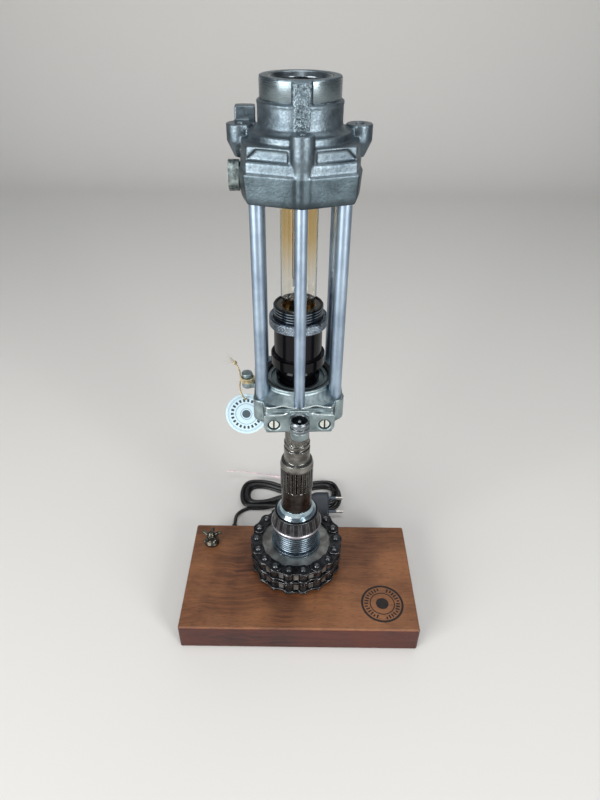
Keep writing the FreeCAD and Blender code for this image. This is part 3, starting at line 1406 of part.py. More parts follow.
def run_height(run, share):
    # The middle run climbs from the lower layer to the upper one.
    if run < layer_runs - 1:
        return layer_one
    if run > layer_runs - 1:
        return layer_two
    return layer_one + (layer_two - layer_one) * share


hank_start = Vector(hank_x - half_run - cord_size, hank_y - offsets[0], layer_one)
knots = []
for run in range(run_count):
    way = 1 if run % 2 == 0 else -1
    side = -way
    offset = offsets[run]
    forward = Vector(way, 0, 0)
    begin = Vector(hank_x - way * half_run, hank_y + side * offset, run_height(run, 0))
    waist = Vector(hank_x, hank_y + side * (offset - dim.hank_dip.value), run_height(run, 0.5))
    finish = Vector(hank_x + way * half_run, hank_y + side * offset, run_height(run, 1))
    if run == run_count - 1:
        knots.append((begin, forward))
        break
    climb = Vector(way, 0, (run_height(run, 1) - run_height(run, 0)) / (2 * half_run)).normalize()
    knots += [(begin, forward), (waist, climb), (finish, forward)]
    next_offset = offsets[run + 1]
    fold = (offset + next_offset) / 2
    centre_y = hank_y + side * (offset - next_offset) / 2
    knots.append((Vector(hank_x + way * (half_run + fold), centre_y, finish.z), Vector(0, -side, 0)))
hank_end = knots[-1][0] + Vector(cord_size, 0, 0)
hank_edges = [Part.LineSegment(hank_start, knots[0][0]).toShape()]
hank_bends = []
for (start, start_way), (end, end_way) in zip(knots, knots[1:]):
    edges, bends = biarc(start, start_way, end, end_way)
    hank_edges += edges
    hank_bends += bends
hank_edges.append(Part.LineSegment(knots[-1][0], hank_end).toShape())
hank_path = Part.Wire(hank_edges)
hank_section = Part.Wire([Part.Circle(hank_start, Vector(1, 0, 0), cord_radius).toShape()])
hank_solid = hank_path.makePipeShell([hank_section], True, False)


def least_self_gap(path, radius, spacing):
    # Least distance between stretches of the tube that are far apart along it.
    places = path.discretize(Distance=spacing)
    apart = int(6 * radius / spacing) + 1
    least = min((places[i] - places[j]).Length
                for i in range(len(places)) for j in range(i + apart, len(places)))
    return least - 2 * radius


print("hank: length %.1f, tightest radius %.1f, self gap %.2f, volume share %.4f"
      % (hank_path.Length, min(bend for bend in hank_bends if bend),
         least_self_gap(hank_path, cord_radius, 2.0),
         hank_solid.Volume / (pi * cord_radius ** 2 * hank_path.Length)))
keep("cord_hank", shaped("cord_hank", hank_solid))

lead_route = [
    (lead_side, boot_tip.value, lead_rise), (lead_side, boot_tip.value + 8.0, lead_rise),
    (lead_side, hank_start.y - 15.0, cord_radius + 2.0), (lead_side + 5.5, hank_start.y - 5.5, cord_radius),
    (lead_side + 15.0, hank_start.y, cord_radius), tuple(hank_start)]
keep("cord_lead", shaped("cord_lead", round_route(lead_route, cord_radius, "lead")))

plug_centre = Vector(hank_x + dim.plug_right_of_hank.value, hank_y - dim.plug_before_hank.value,
                     dim.plug_rest.value)
plug_left = plug_centre.x - dim.plug_length.value / 2
tail_route = [
    tuple(hank_end), (hank_end.x + 15.2, hank_end.y, hank_end.z),
    (plug_left - 15, plug_centre.y, plug_centre.z), (plug_left, plug_centre.y, plug_centre.z)]
keep("cord_tail", shaped("cord_tail", round_route(tail_route, cord_radius, "tail")))

# Flat two-pin plug lying on one edge, its pins to the right.
plug_turn = Rotation(Vector(1, 0, 0), dim.plug_tilt.value)


def plug_frame(shape):
    shape.Placement = Placement(plug_centre, plug_turn)
    return shape


half_length = dim.plug_length.value / 2
half_plug_width = dim.plug_width.value / 2
half_plug_thickness = dim.plug_thickness.value / 2


def plug_outline(x, width_share, thickness):
    # Long six-sided section of the plug, square to its pins.
    half = half_plug_width * width_share
    points = [Vector(x, -half, 0), Vector(x, -half + thickness * 0.6, -thickness),
              Vector(x, half - thickness * 0.6, -thickness), Vector(x, half, 0),
              Vector(x, half - thickness * 0.6, thickness), Vector(x, -half + thickness * 0.6, thickness)]
    return Part.makePolygon(points + points[:1])


plug_shell = Part.makeLoft([plug_outline(-half_length, 0.42, half_plug_thickness * 0.75),
                            plug_outline(-half_length * 0.35, 0.86, half_plug_thickness),
                            plug_outline(half_length, 1.0, half_plug_thickness)], True, True)
pin_y = dim.plug_pin_spacing.value / 2
pin_radius = dim.plug_pin_radius.value
core_radius = pin_radius - 0.5
pin_grip = 8.0
sleeve_length = pin_grip + dim.plug_sleeve_length.value
tip_length = dim.plug_pin_length.value - dim.plug_sleeve_length.value
outward = Vector(1, 0, 0)
plug_pins, plug_sleeves = [], []
for y in (-pin_y, pin_y):
    root = Vector(half_length - pin_grip, y, 0)
    hole = Part.makeCylinder(pin_radius + 0.05, pin_grip, root, outward)
    plug_shell = plug_shell.cut(hole)
    sleeve = Part.makeCylinder(pin_radius, sleeve_length, root, outward)
    core_hole = Part.makeCylinder(core_radius + 0.02, sleeve_length, root, outward)
    plug_sleeves.append(sleeve.cut(core_hole))
    core = Part.makeCylinder(core_radius, sleeve_length, root, outward)
    tip = Part.makeCylinder(pin_radius, tip_length, root + outward * sleeve_length, outward)
    plug_pins.append(core.fuse(tip).removeSplitter())
keep("plug_body", shaped("plug_body", plug_frame(plug_shell)))
keep("plug_pins", shaped("plug_pins", plug_frame(Part.makeCompound(plug_pins))))
keep("plug_sleeves", shaped("plug_sleeves", plug_frame(Part.makeCompound(plug_sleeves))))

# White twist tie round the hank's waist, with a long loose end.
tie_air = dim.air.value
tie_near = hank_y - (offsets[0] - dim.hank_dip.value) - cord_radius - tie_air
tie_far = hank_y + (offsets[1] - dim.hank_dip.value) + cord_radius + tie_air
tie_high = layer_two + cord_radius + tie_air
tie_wall, tie_width = dim.tie_wall.value, dim.tie_width.value
tie_outer = Part.makeBox(tie_width, tie_far - tie_near + 2 * tie_wall, tie_high + tie_wall,
                         Vector(hank_x - tie_width / 2, tie_near - tie_wall, 0.0))
tie_inner = Part.makeBox(tie_width, tie_far - tie_near, tie_high,
                         Vector(hank_x - tie_width / 2, tie_near, 0.0))
tie_band = tie_outer.cut(tie_inner)
tie_route = [(hank_x, tie_far + tie_wall, tie_high * 0.6), (hank_x - 1, tie_far + 9, tie_high * 0.5),
             (hank_x - 13, tie_far + 17, 6.0), (hank_x - 32, tie_far + 21.5, 7.5),
             (hank_x - 54, tie_far + 24.0, 9.0), (hank_x - 75, tie_far + 25.0, 11.0),
             (hank_x - 95, tie_far + 24.5, 13.0)]
tie_tail = round_route(tie_route, dim.tie_wire_radius.value, "twist tie end")
keep("twist_tie", shaped("twist_tie", tie_band.fuse(tie_tail).removeSplitter()))

# Paper tag that hangs under the lower casting, on a string wound round the casting's lug.
head_spin = Rotation(Vector(0, 0, 1), dim.head_turn.value)
lug_base = (head_spin.multVec(Vector(dim.lug_x.value, dim.lug_y.value, 0))
            + Vector(axis_x, axis_y, (deck + lug_low).value))
tag_lean = Rotation(Vector(1, 0, 0), 70)
tag_centre = Vector(axis_x - dim.tag_left.value, axis_y + dim.tag_behind.value,
                    lug_base.z - dim.tag_below_lug.value)
tag_hole = Vector(0, dim.tag_radius.value - dim.tag_hole_inset.value, 0)
tag_disc = Part.makeCylinder(dim.tag_radius.value, dim.tag_thickness.value)
tag_disc = tag_disc.cut(Part.makeCylinder(dim.tag_hole.value, dim.tag_thickness.value, tag_hole))
tag_disc.Placement = Placement(tag_centre, tag_lean)
keep("hang_tag", shaped("hang_tag", tag_disc))

string_radius = dim.string_radius.value
wind_turns, steps_per_turn = 3, 8
wind_radius = (dim.lug_radius.value + string_radius + 0.2) / cos(pi / steps_per_turn)
wind_side = -wind_radius - 0.3
wind_step = 2 * string_radius + 0.15
wind_low = dim.lug_web_height.value + string_radius + 0.3
wind_high = wind_low + wind_turns * wind_step
hole_place = tag_centre + tag_lean.multVec(tag_hole)
string_points = [lug_base + Vector(wind_side - 5.6, 13.5, wind_high + 7),
                 lug_base + Vector(wind_side - 0.5, 7.2, wind_high + 2.6)]
for index in range(wind_turns * steps_per_turn + 1):
    share = index / steps_per_turn
    string_points.append(lug_base + around(180 + 360 * share, wind_radius, wind_high - wind_step * share))
string_points += [lug_base + Vector(wind_side, -11, wind_low - 2.1),
                  hole_place + tag_lean.multVec(Vector(0, 0, 9)),
                  hole_place + tag_lean.multVec(Vector(0, 0, -5))]
keep("tag_string", shaped("tag_string", round_route(string_points, string_radius, "tag string")))

doc.recompute()
for item in doc.Objects:
    if "Invalid" in item.State or "Error" in item.State:
        raise RuntimeError("%s failed: %s" % (item.Name, item.State))
os.makedirs("parts", exist_ok=True)
for name, item in pieces.items():
    shape = item.Shape
    if shape.isNull() or not shape.isValid() or not shape.Solids:
        raise RuntimeError("%s has no valid solid" % name)
    shape.exportStep("parts/%s.step" % name)
print("%d nodes written" % len(pieces))
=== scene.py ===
import math
import random

import bmesh
import bpy
from mathutils import Matrix, Vector, noise


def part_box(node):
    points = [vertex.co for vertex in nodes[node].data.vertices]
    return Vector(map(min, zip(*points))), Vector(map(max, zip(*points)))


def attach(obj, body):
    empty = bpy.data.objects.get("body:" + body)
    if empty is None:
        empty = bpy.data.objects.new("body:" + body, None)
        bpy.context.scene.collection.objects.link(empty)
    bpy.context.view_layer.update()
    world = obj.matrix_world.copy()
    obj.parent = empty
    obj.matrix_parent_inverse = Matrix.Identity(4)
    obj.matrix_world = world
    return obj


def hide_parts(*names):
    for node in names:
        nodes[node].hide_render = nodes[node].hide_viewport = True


# Table lamp made of machine parts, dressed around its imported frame. Metres, +Z up, front towards -Y.
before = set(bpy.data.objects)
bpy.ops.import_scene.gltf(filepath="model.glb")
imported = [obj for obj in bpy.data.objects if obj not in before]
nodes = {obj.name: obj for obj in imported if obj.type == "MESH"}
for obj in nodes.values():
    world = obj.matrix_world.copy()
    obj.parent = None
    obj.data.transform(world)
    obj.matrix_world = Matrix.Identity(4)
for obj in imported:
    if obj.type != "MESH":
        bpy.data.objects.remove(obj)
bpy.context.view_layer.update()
mm = 0.001

shaftLow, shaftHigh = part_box("splined_shaft")
axis = Vector(((shaftLow.x + shaftHigh.x) / 2, (shaftLow.y + shaftHigh.y) / 2, 0))
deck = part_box("base_board")[1].z
headTurn = math.radians(2.5)
headSpin = Matrix.Rotation(headTurn, 4, "Z")
print("frame loaded, deck at %.1f mm" % (deck / mm))


def onAxis(x, y, z):
    # Millimetres from the lamp's axis and the top of the base.
    return Vector((axis.x + x * mm, axis.y + y * mm, deck + z * mm))


def onHead(x, y, z):
    # The same, turned with the two castings.
    spot = headSpin @ Vector((x * mm, y * mm, z * mm))
    return Vector((axis.x + spot.x, axis.y + spot.y, deck + spot.z))


# Small tools for nodes and meshes

def toLinear(hexColour):
    channels = [int(hexColour[i:i + 2], 16) / 255 for i in (1, 3, 5)]
    return [c / 12.92 if c <= 0.04045 else ((c + 0.055) / 1.055) ** 2.4 for c in channels] + [1.0]


def addNode(tree, kind, settings=None, links=None):
    node = tree.nodes.new(kind)
    for name, value in (settings or {}).items():
        if isinstance(name, int) or name in node.inputs:
            node.inputs[name].default_value = value
        else:
            setattr(node, name, value)
    for name, source in (links or {}).items():
        tree.links.new(source, node.inputs[name])
    return node


def startFinish(name, colour, roughness, metallic=0.0):
    material = bpy.data.materials.new(name)
    material.use_nodes = True
    tree = material.node_tree
    shader = tree.nodes["Principled BSDF"]
    shader.inputs["Base Color"].default_value = toLinear(colour)
    shader.inputs["Roughness"].default_value = roughness
    shader.inputs["Metallic"].default_value = metallic
    place = addNode(tree, "ShaderNodeTexCoord").outputs["Object"]
    return material, tree, shader, place


def perMetre(sizeMm):
    # Noise scale whose features are about this many millimetres across.
    return 1000.0 / sizeMm


def stretched(tree, place, stretch):
    # Object coordinates squeezed along the axes where a pattern runs long.
    return vectorMath(tree, "MULTIPLY", place, stretch).outputs[0]


def blendColours(tree, factor, low, high):
    node = addNode(tree, "ShaderNodeMix", {"data_type": "RGBA"})
    for slot, colour in ((6, low), (7, high)):
        if isinstance(colour, str):
            node.inputs[slot].default_value = toLinear(colour)
        else:
            tree.links.new(colour, node.inputs[slot])
    tree.links.new(factor, node.inputs[0])
    return node.outputs[2]


def ramp(tree, value, start, end, low=0.0, high=1.0):
    # Goes from low to high while the value goes from start to end.
    return addNode(tree, "ShaderNodeMapRange", {"From Min": start, "From Max": end, "To Min": low,
        "To Max": high}, {"Value": value}).outputs[0]


def speckle(tree, place, sizeMm, detail, roughness=0.5):
    return addNode(tree, "ShaderNodeTexNoise", {"Scale": perMetre(sizeMm), "Detail": detail,
        "Roughness": roughness}, {"Vector": place})


def operate(tree, kind, operation, values):
    # Each value is a number, a vector or another node's output.
    node = addNode(tree, kind, {"operation": operation})
    for slot, value in enumerate(values):
        if isinstance(value, bpy.types.NodeSocket):
            tree.links.new(value, node.inputs[slot])
        else:
            node.inputs[slot].default_value = value
    return node


def plainMath(tree, operation, *values):
    return operate(tree, "ShaderNodeMath", operation, values).outputs[0]


def vectorMath(tree, operation, *values):
    return operate(tree, "ShaderNodeVectorMath", operation, values)


def heightOf(tree, vector):
    return addNode(tree, "ShaderNodeSeparateXYZ", {}, {0: vector}).outputs["Z"]


def fromAxis(tree, place):
    # Distance from the lamp's axis, in metres.
    offset = vectorMath(tree, "SUBTRACT", place, axis).outputs[0]
    return vectorMath(tree, "LENGTH", stretched(tree, offset, (1, 1, 0))).outputs["Value"]


def wornAndLitEdges(tree, radiusMm, start, end, most):
    # The rounded normal, and how much each spot belongs to an edge, which is painted as wear and as a highlight.
    rounded = addNode(tree, "ShaderNodeBevel", {"samples": 4, "Radius": radiusMm * mm}).outputs[0]
    facing = addNode(tree, "ShaderNodeNewGeometry").outputs["Normal"]
    meeting = vectorMath(tree, "DOT_PRODUCT", rounded, facing).outputs["Value"]
    return rounded, facing, ramp(tree, meeting, start, end, high=most)


def dress(finish, *names):
    for name in names:
        target = nodes[name] if name in nodes else bpy.data.objects[name]
        target.data.materials.clear()
        target.data.materials.append(finish)


usualLook = {"metallic": 1.0, "stretch": (1, 1, 1), "strength": 0.5, "cloudMm": 5, "grainMm": 0.4,
    "edgeMm": 0.5, "wearAndHighlight": 0.9, "spread": 0.08, "depthMm": 0.02}


def metalFinish(name, look):
    # Metal with cloudy colour, uneven gloss, a fine grain (stretched where it was turned or drawn) and bright
    # edges, part wear and part painted highlight. What a look doesn't say is as usual.
    look = dict(usualLook, **look)
    material, tree, shader, place = startFinish(name, look["colour"], look["roughness"], look["metallic"])
    if "specular" in look:
        shader.inputs["Specular IOR Level"].default_value = look["specular"]
    along = stretched(tree, place, look["stretch"])
    cloudShare = ramp(tree, speckle(tree, place, look["cloudMm"], 4.0, 0.6).outputs["Fac"], 0.35, 0.65)
    tone = blendColours(tree, cloudShare, look["dark"], look["colour"])
    if "radial" in look:
        # Painted shade in the roots and a painted highlight on the crests, by the distance from the lamp's axis.
        start, end, inner, outer = look["radial"]
        outward = ramp(tree, fromAxis(tree, place), start * mm, end * mm)
        tone = blendColours(tree, outward, inner or tone, outer or tone)
    if "upper" in look:
        # A brighter tone above a height from the top of the base.
        upperShare = ramp(tree, heightOf(tree, place), deck + (look["upperFrom"] - 0.5) * mm,
            deck + (look["upperFrom"] + 0.5) * mm)
        upperTone = blendColours(tree, cloudShare, look["upperDark"], look["upper"])
        tone = blendColours(tree, upperShare, tone, upperTone)
    grain = speckle(tree, along, look["grainMm"], 3.0).outputs["Fac"]
    bump = addNode(tree, "ShaderNodeBump", {"Strength": look["strength"], "Distance": look["depthMm"] * mm},
        {"Height": grain})
    if "edge" in look:
        # The edge colour paints wear and a highlight along the edges.
        rounded, facing, wornAndLit = wornAndLitEdges(tree, look["edgeMm"], 0.99, 0.88, look["wearAndHighlight"])
        tone = blendColours(tree, wornAndLit, tone, look["edge"])
        tree.links.new(rounded, bump.inputs["Normal"])
    tree.links.new(tone, shader.inputs["Base Color"])
    gloss = ramp(tree, grain, 0.3, 0.7, look["roughness"] - look["spread"], look["roughness"] + look["spread"])
    tree.links.new(gloss, shader.inputs["Roughness"])
    tree.links.new(bump.outputs[0], shader.inputs["Normal"])
    return material


def plainFinish(name, look):
    # Plastic, rubber or lacquer: one colour with faint clouds and a fine moulded grain.
    return metalFinish(name, dict(look, metallic=0.0))


def looseMesh(build, name="loose"):
    # A closed mesh without an object, from a function that fills a bmesh.
    shape = bmesh.new()
    build(shape)
    bmesh.ops.recalc_face_normals(shape, faces=shape.faces)
    data = bpy.data.meshes.new(name)
    shape.to_mesh(data)
    shape.free()
    return data


def newObject(name, data):
    item = bpy.data.objects.new(name, data)
    bpy.context.scene.collection.objects.link(item)
    return item


def meshPiece(name, body, build, finish):
    data = looseMesh(build, name)
    item = newObject(name, data)
    if finish:
        data.materials.append(finish)
    if body:
        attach(item, body)
    return item


def skin(shape, rings, looped=False, capped=True):
    # Faces between rings of vertices; looped joins the last ring to the first, capped closes both ends.
    following = rings[1:] + rings[:1] if looped else rings[1:]
    for here, there in zip(rings, following):
        for i in range(len(here)):
            j = (i + 1) % len(here)
            shape.faces.new((here[i], there[i], there[j], here[j]))
    if capped:
        shape.faces.new(list(reversed(rings[0])))
        shape.faces.new(rings[-1])


def closedBox(shape, corners):
    # Eight vertices, four round one end and four round the other in the same order.
    skin(shape, [corners[:4], corners[4:]])


def lathe(shape, outline, centre, steps=96):
    # Turns a closed outline of radius, height pairs in millimetres about +Z through centre.
    rings = []
    for step in range(steps):
        angle = 2 * math.pi * step / steps
        ring = []
        for radius, height in outline:
            spot = Vector((radius * math.cos(angle), radius * math.sin(angle), height)) * mm
            ring.append(shape.verts.new(centre + spot))
        rings.append(ring)
    skin(shape, rings, looped=True, capped=False)


def tubeAlong(shape, points, radius, sides=12, taper=None):
    # A round tube through points, with closed ends; taper gives each point's share of the radius.
    rings = []
    side = None
    for index, point in enumerate(points):
        before = points[max(index - 1, 0)]
        after = points[min(index + 1, len(points) - 1)]
        way = (after - before).normalized()
        if side is None:
            side = way.orthogonal().normalized()
        side = (side - way * side.dot(way)).normalized()
        across = way.cross(side)
        share = taper(index / (len(points) - 1)) if taper else 1.0
        rings.append([shape.verts.new(point + (side * math.cos(2 * math.pi * k / sides) + across *
            math.sin(2 * math.pi * k / sides)) * radius * share) for k in range(sides)])
    skin(shape, rings)


def smoothRun(points, each=10):
    # Catmull-Rom line through points in millimetres, returned in metres.
    spots = [Vector(p) * mm for p in points]
    padded = [spots[0] * 2 - spots[1]] + spots + [spots[-1] * 2 - spots[-2]]
    run = []
    for a, b, c, d in zip(padded, padded[1:], padded[2:], padded[3:]):
        for step in range(each):
            t = step / each
            bend, twist = 2 * a - 5 * b + 4 * c - d, 3 * b - a - 3 * c + d
            run.append(0.5 * (2 * b + (c - a) * t + bend * t * t + twist * t ** 3))
    run.append(spots[-1])
    return run


def smoothEdges(item, widthMm, segments):
    # Rounds the sharp edges, as deburring or casting leaves them.
    bevel = item.modifiers.new("rounded edges", "BEVEL")
    bevel.width = widthMm * mm
    bevel.segments = segments
    bevel.limit_method = "ANGLE"
    bevel.angle_limit = math.radians(35)
    bevel.use_clamp_overlap = True


def dressRounded(finish, **roundings):
    # Each node's name with the width in millimetres and the segments of its rounded edges.
    for name, (widthMm, segments) in roundings.items():
        dress(finish, name)
        smoothEdges(nodes[name], widthMm, segments)


def shadeByAngle(item, angle):
    item.data.shade_smooth()
    item.data.set_sharp_from_angle(angle=math.radians(angle))


def blended(name, body, sources, voxelMm, rounds, finish):
    # Several closed solids grown into one casting with soft inner and outer corners.
    shape = bmesh.new()
    for source in sources:
        shape.from_mesh(source)
    data = bpy.data.meshes.new(name)
    shape.to_mesh(data)
    shape.free()
    item = newObject(name, data)
    remesh = item.modifiers.new("one skin", "REMESH")
    remesh.mode = "VOXEL"
    remesh.voxel_size = voxelMm * mm
    relax = item.modifiers.new("cast corners", "SMOOTH")
    relax.factor = 0.5
    relax.iterations = rounds
    bpy.context.view_layer.update()
    evaluated = item.evaluated_get(bpy.context.evaluated_depsgraph_get())
    final = bpy.data.meshes.new_from_object(evaluated)
    item.modifiers.clear()
    item.data = final
    final.materials.clear()
    final.materials.append(finish)
    final.shade_smooth()
    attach(item, body)
    return item


# Camera at the photograph's place: fitted to the lamp's known sizes
cameraPlace = {"spot": (-2.0, -433.3, 597.5), "down": 35.87, "roll": 0.74, "lens": 26.22, "sensor": 36.0}

cameraData = bpy.data.cameras.new("camera")
cameraData.lens = cameraPlace["lens"]
cameraData.sensor_width = cameraPlace["sensor"]
cameraData.clip_start = 0.01
camera = newObject("camera", cameraData)
camera.matrix_world = (Matrix.Translation(Vector(cameraPlace["spot"]) * mm) @
    Matrix.Rotation(math.radians(90 - cameraPlace["down"]), 4,
    "X") @ Matrix.Rotation(math.radians(cameraPlace["roll"]), 4, "Z"))
bpy.context.scene.camera = camera
print("camera placed")

# Black vinyl flex: satin black, with the soft gloss of extruded plastic
vinylFlex = plainFinish("blackVinylFlex", {"colour": "#141417", "dark": "#0d0d10", "cloudMm": 18,
    "grainMm": 1.2, "roughness": 0.36, "spread": 0.06})

# Lead, hank and tail as one free cord. The route is the frame's own, in millimetres.
cord = {"radius": 2.4, "exit": (-86.5, 95.0, 9.0), "hankX": -13.0, "hankY": 158.0, "halfRun": 45.0,
        "inner": 13.2, "step": 3.1, "dip": 11.0, "layer": 5.4, "runsPerLayer": 5,
        "plugEnd": (3.0, 129.0, 14.8), "length": 1.356}
leadStart = [(-86.5, 95.0, 9.0), (-86.5, 103.0, 9.0), (-86.5, 117.4, 4.4), (-81.0, 126.9, 2.4), (-71.5,
    132.4, 2.4), (-62.8, 132.4, 2.4)]
tailEnd = [(-38.0, 132.4, 7.8), (-12.0, 129.0, 14.8), (3.0, 129.0, 14.8)]


def hankRoute():
    # Five runs in the lower layer and four on top of them, pinched at the waist by the tie.
    points = []
    perLayer = cord["runsPerLayer"]
    runCount = 2 * perLayer - 1
    offsets = [cord["inner"] + cord["step"] * abs(perLayer - 1 - run) for run in range(runCount)]
    low, high = cord["radius"], cord["radius"] + cord["layer"]
    for run in range(runCount):
        way = 1 if run % 2 == 0 else -1
        offset = offsets[run]
        if run == runCount - 1:
            points.append((cord["hankX"] - way * cord["halfRun"], cord["hankY"] - way * offset, high))
            break
        for share in (-0.75, -0.25, 0.25, 0.75):
            height = low if run < perLayer - 1 else high
            if run == perLayer - 1:
                height = low + (high - low) * (share + 1) / 2
            inward = cord["dip"] if abs(share) < 0.5 else 0.0
            points.append((cord["hankX"] + way * share * cord["halfRun"],
                cord["hankY"] - way * (offset - inward), height))
        fold = (offset + offsets[run + 1]) / 2
        height = high if run >= perLayer - 1 else low
        for y in (-way * offset, way * offsets[run + 1]):
            points.append((cord["hankX"] + way * (cord["halfRun"] + fold), cord["hankY"] + y, height))
    return points


def splineCord(name, points, radius, finish, body):
    curve = bpy.data.curves.new(name, "CURVE")
    curve.dimensions = "3D"
    spline = curve.splines.new("NURBS")
    spline.points.add(len(points) - 1)
    for target, point in zip(spline.points, points):
        target.co = (point[0] * mm, point[1] * mm, point[2] * mm, 1.0)
    spline.order_u = 3
    spline.use_endpoint_u = True
    spline.resolution_u = 8
    curve.bevel_depth = radius * mm
    curve.bevel_resolution = 5
    curve.use_fill_caps = True
    curve.materials.append(finish)
    item = newObject(name, curve)
    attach(item, body)
    return item


flex = splineCord("flex", leadStart + hankRoute() + tailEnd, cord["radius"], vinylFlex, "lamp")
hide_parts("cord_lead", "cord_hank", "cord_tail")
print("cord laid")

# Studio: a pale sweep, two tall soft boxes and a soft ceiling, as plain as a product table
studio = {"floorY": 1.6, "floorHalf": 3.2, "floorFront": -2.6, "wallHeight": 2.6, "curve": 0.55,
    "floorColour": "#d6d4d0", "worldColour": "#aeb4bc", "worldStrength": 0.38}
softboxes = [
    {"name": "tallBoxLeft", "spot": (-1.25, -1.25, 0.62), "aim": (0.0, 0.0, 0.36), "size": (1.1, 1.5), "watts": 42},
    {"name": "tallBoxRight", "spot": (1.12, -1.40, 0.70), "aim": (0.0, 0.0, 0.36), "size": (0.6, 1.3), "watts": 27},
    {"name": "ceiling", "spot": (0.1, -0.1, 2.0), "aim": (0.0, 0.05, 0.0), "size": (1.8, 1.5), "watts": 18},
]


def sweep(shape):
    # Floor that curves up into the backdrop.
    profile = [(studio["floorFront"], 0.0)]
    steps = 12
    for step in range(steps + 1):
        angle = math.pi / 2 * step / steps
        profile.append((studio["floorY"] + studio["curve"] * math.sin(angle),
            studio["curve"] * (1 - math.cos(angle))))
    profile.append((studio["floorY"] + studio["curve"], studio["wallHeight"]))
    rows = [[shape.verts.new((x, y, z)) for x in (-studio["floorHalf"], studio["floorHalf"])] for y, z in profile]
    for low, high in zip(rows, rows[1:]):
        shape.faces.new((low[0], low[1], high[1], high[0]))


paperSweep = startFinish("paperSweep", studio["floorColour"], 0.85)[0]
floor = meshPiece("floor", None, sweep, paperSweep)
floor.data.shade_smooth()

world = bpy.data.worlds.new("room")
world.use_nodes = True
background = world.node_tree.nodes["Background"]
background.inputs["Color"].default_value = toLinear(studio["worldColour"])
background.inputs["Strength"].default_value = studio["worldStrength"]
bpy.context.scene.world = world
bpy.context.scene.view_settings.view_transform = "Standard"

for softbox in softboxes:
    lamp = bpy.data.lights.new(softbox["name"], "AREA")
    lamp.shape = "RECTANGLE"
    lamp.size, lamp.size_y = softbox["size"]
    lamp.energy = softbox["watts"]
    holder = newObject(softbox["name"], lamp)
    holder.location = softbox["spot"]
    holder.rotation_euler = (Vector(softbox["aim"]) - Vector(softbox["spot"])).to_track_quat("-Z", "Y").to_euler()
print("studio lit")

# Walnut board under satin varnish: cut along the grain, so long reddish streaks, short dark pores
# and a soft shine that breaks up a little in the pores.
# The side colour is multiplied in as painted shade on the board's sides; the arris colour is a painted highlight on its
# edges.
boardLook = {"pale": "#96643f", "mid": "#6d4229", "dark": "#3f2112", "paleBand": "#744a30", "streakMm": 3.4,
    "streakLongMm": 75, "side": "#8a4e39", "paintedArrisTone": "#a8876b", "poreMm": 0.45, "poreLongMm": 7,
    "cloudMm": 60, "roughness": 0.42, "poreDepthMm": 0.12, "paleBandHeightMm": 8}


def woodFinish(name, look):
    material, tree, shader, place = startFinish(name, look["mid"], look["roughness"])
    drift = speckle(tree, place, look["cloudMm"], 2.0)
    bent = addNode(tree, "ShaderNodeVectorMath", {"operation": "MULTIPLY_ADD", 1: (0.0, 0.018, 0.018)},
        {0: drift.outputs["Color"], 2: place}).outputs[0]
    streakRun = stretched(tree, bent, (look["streakMm"] / look["streakLongMm"], 1, 1))
    streak = speckle(tree, streakRun, look["streakMm"], 5.0, 0.62).outputs["Fac"]
    tone = blendColours(tree, ramp(tree, streak, 0.4, 0.61), look["dark"], look["mid"])
    cloudShare = ramp(tree, drift.outputs["Fac"], 0.35, 0.68, high=0.75)
    tone = blendColours(tree, cloudShare, tone, look["pale"])
    poreRun = stretched(tree, place, (look["poreMm"] / look["poreLongMm"], 1, 1))
    poreShare = ramp(tree, speckle(tree, poreRun, look["poreMm"], 2.0).outputs["Fac"], 0.54, 0.7, high=0.85)
    tone = blendColours(tree, poreShare, tone, look["dark"])
    # A paler band runs along the bottom of the board.
    paleBandShare = ramp(tree, heightOf(tree, bent), (look["paleBandHeightMm"] + 9) * mm,
        (look["paleBandHeightMm"] + 6) * mm, high=0.4)
    tone = blendColours(tree, paleBandShare, tone, look["paleBand"])
    # The sides get painted shade, darker than the top, and the arrises a painted pale highlight.
    facing, arrisHighlight = wornAndLitEdges(tree, 0.7, 0.98, 0.85, 0.6)[1:]
    paintedSideShade = ramp(tree, heightOf(tree, facing), 0.8, 0.3)
    shade = addNode(tree, "ShaderNodeMix", {"data_type": "RGBA", "blend_type": "MULTIPLY",
        7: toLinear(look["side"])}, {0: paintedSideShade, 6: tone})
    tone = blendColours(tree, arrisHighlight, shade.outputs[2], look["paintedArrisTone"])
    tree.links.new(tone, shader.inputs["Base Color"])
    gloss = ramp(tree, streak, 0.3, 0.7, look["roughness"] + 0.1, look["roughness"] - 0.06)
    tree.links.new(gloss, shader.inputs["Roughness"])
    bump = addNode(tree, "ShaderNodeBump", {"Strength": 0.6, "Distance": look["poreDepthMm"] * mm,
        "invert": True}, {"Height": poreShare})
    tree.links.new(bump.outputs[0], shader.inputs["Normal"])
    return material


varnishedWalnut = woodFinish("varnishedWalnut", boardLook)
dressRounded(varnishedWalnut, base_board=(0.5, 2))

# Roundel burnt into the deck: charred rings and tick marks, matt and a hair below the varnish's shine
roundel = {"spot": (92.5, -39.6), "ringRadii": (23.6, 21.2), "innerRadii": (14.0, 12.9), "dotRadii": (7.0,
    0.01), "tickRadii": (19.8, 15.4), "ticks": 32, "tickWidth": 1.7, "thickness": 0.12}
charredWood = plainFinish("charredWood", {"colour": "#1f1512", "dark": "#120c0a", "cloudMm": 4,
    "grainMm": 0.5, "roughness": 0.75, "spread": 0.1, "depthMm": 0.05})


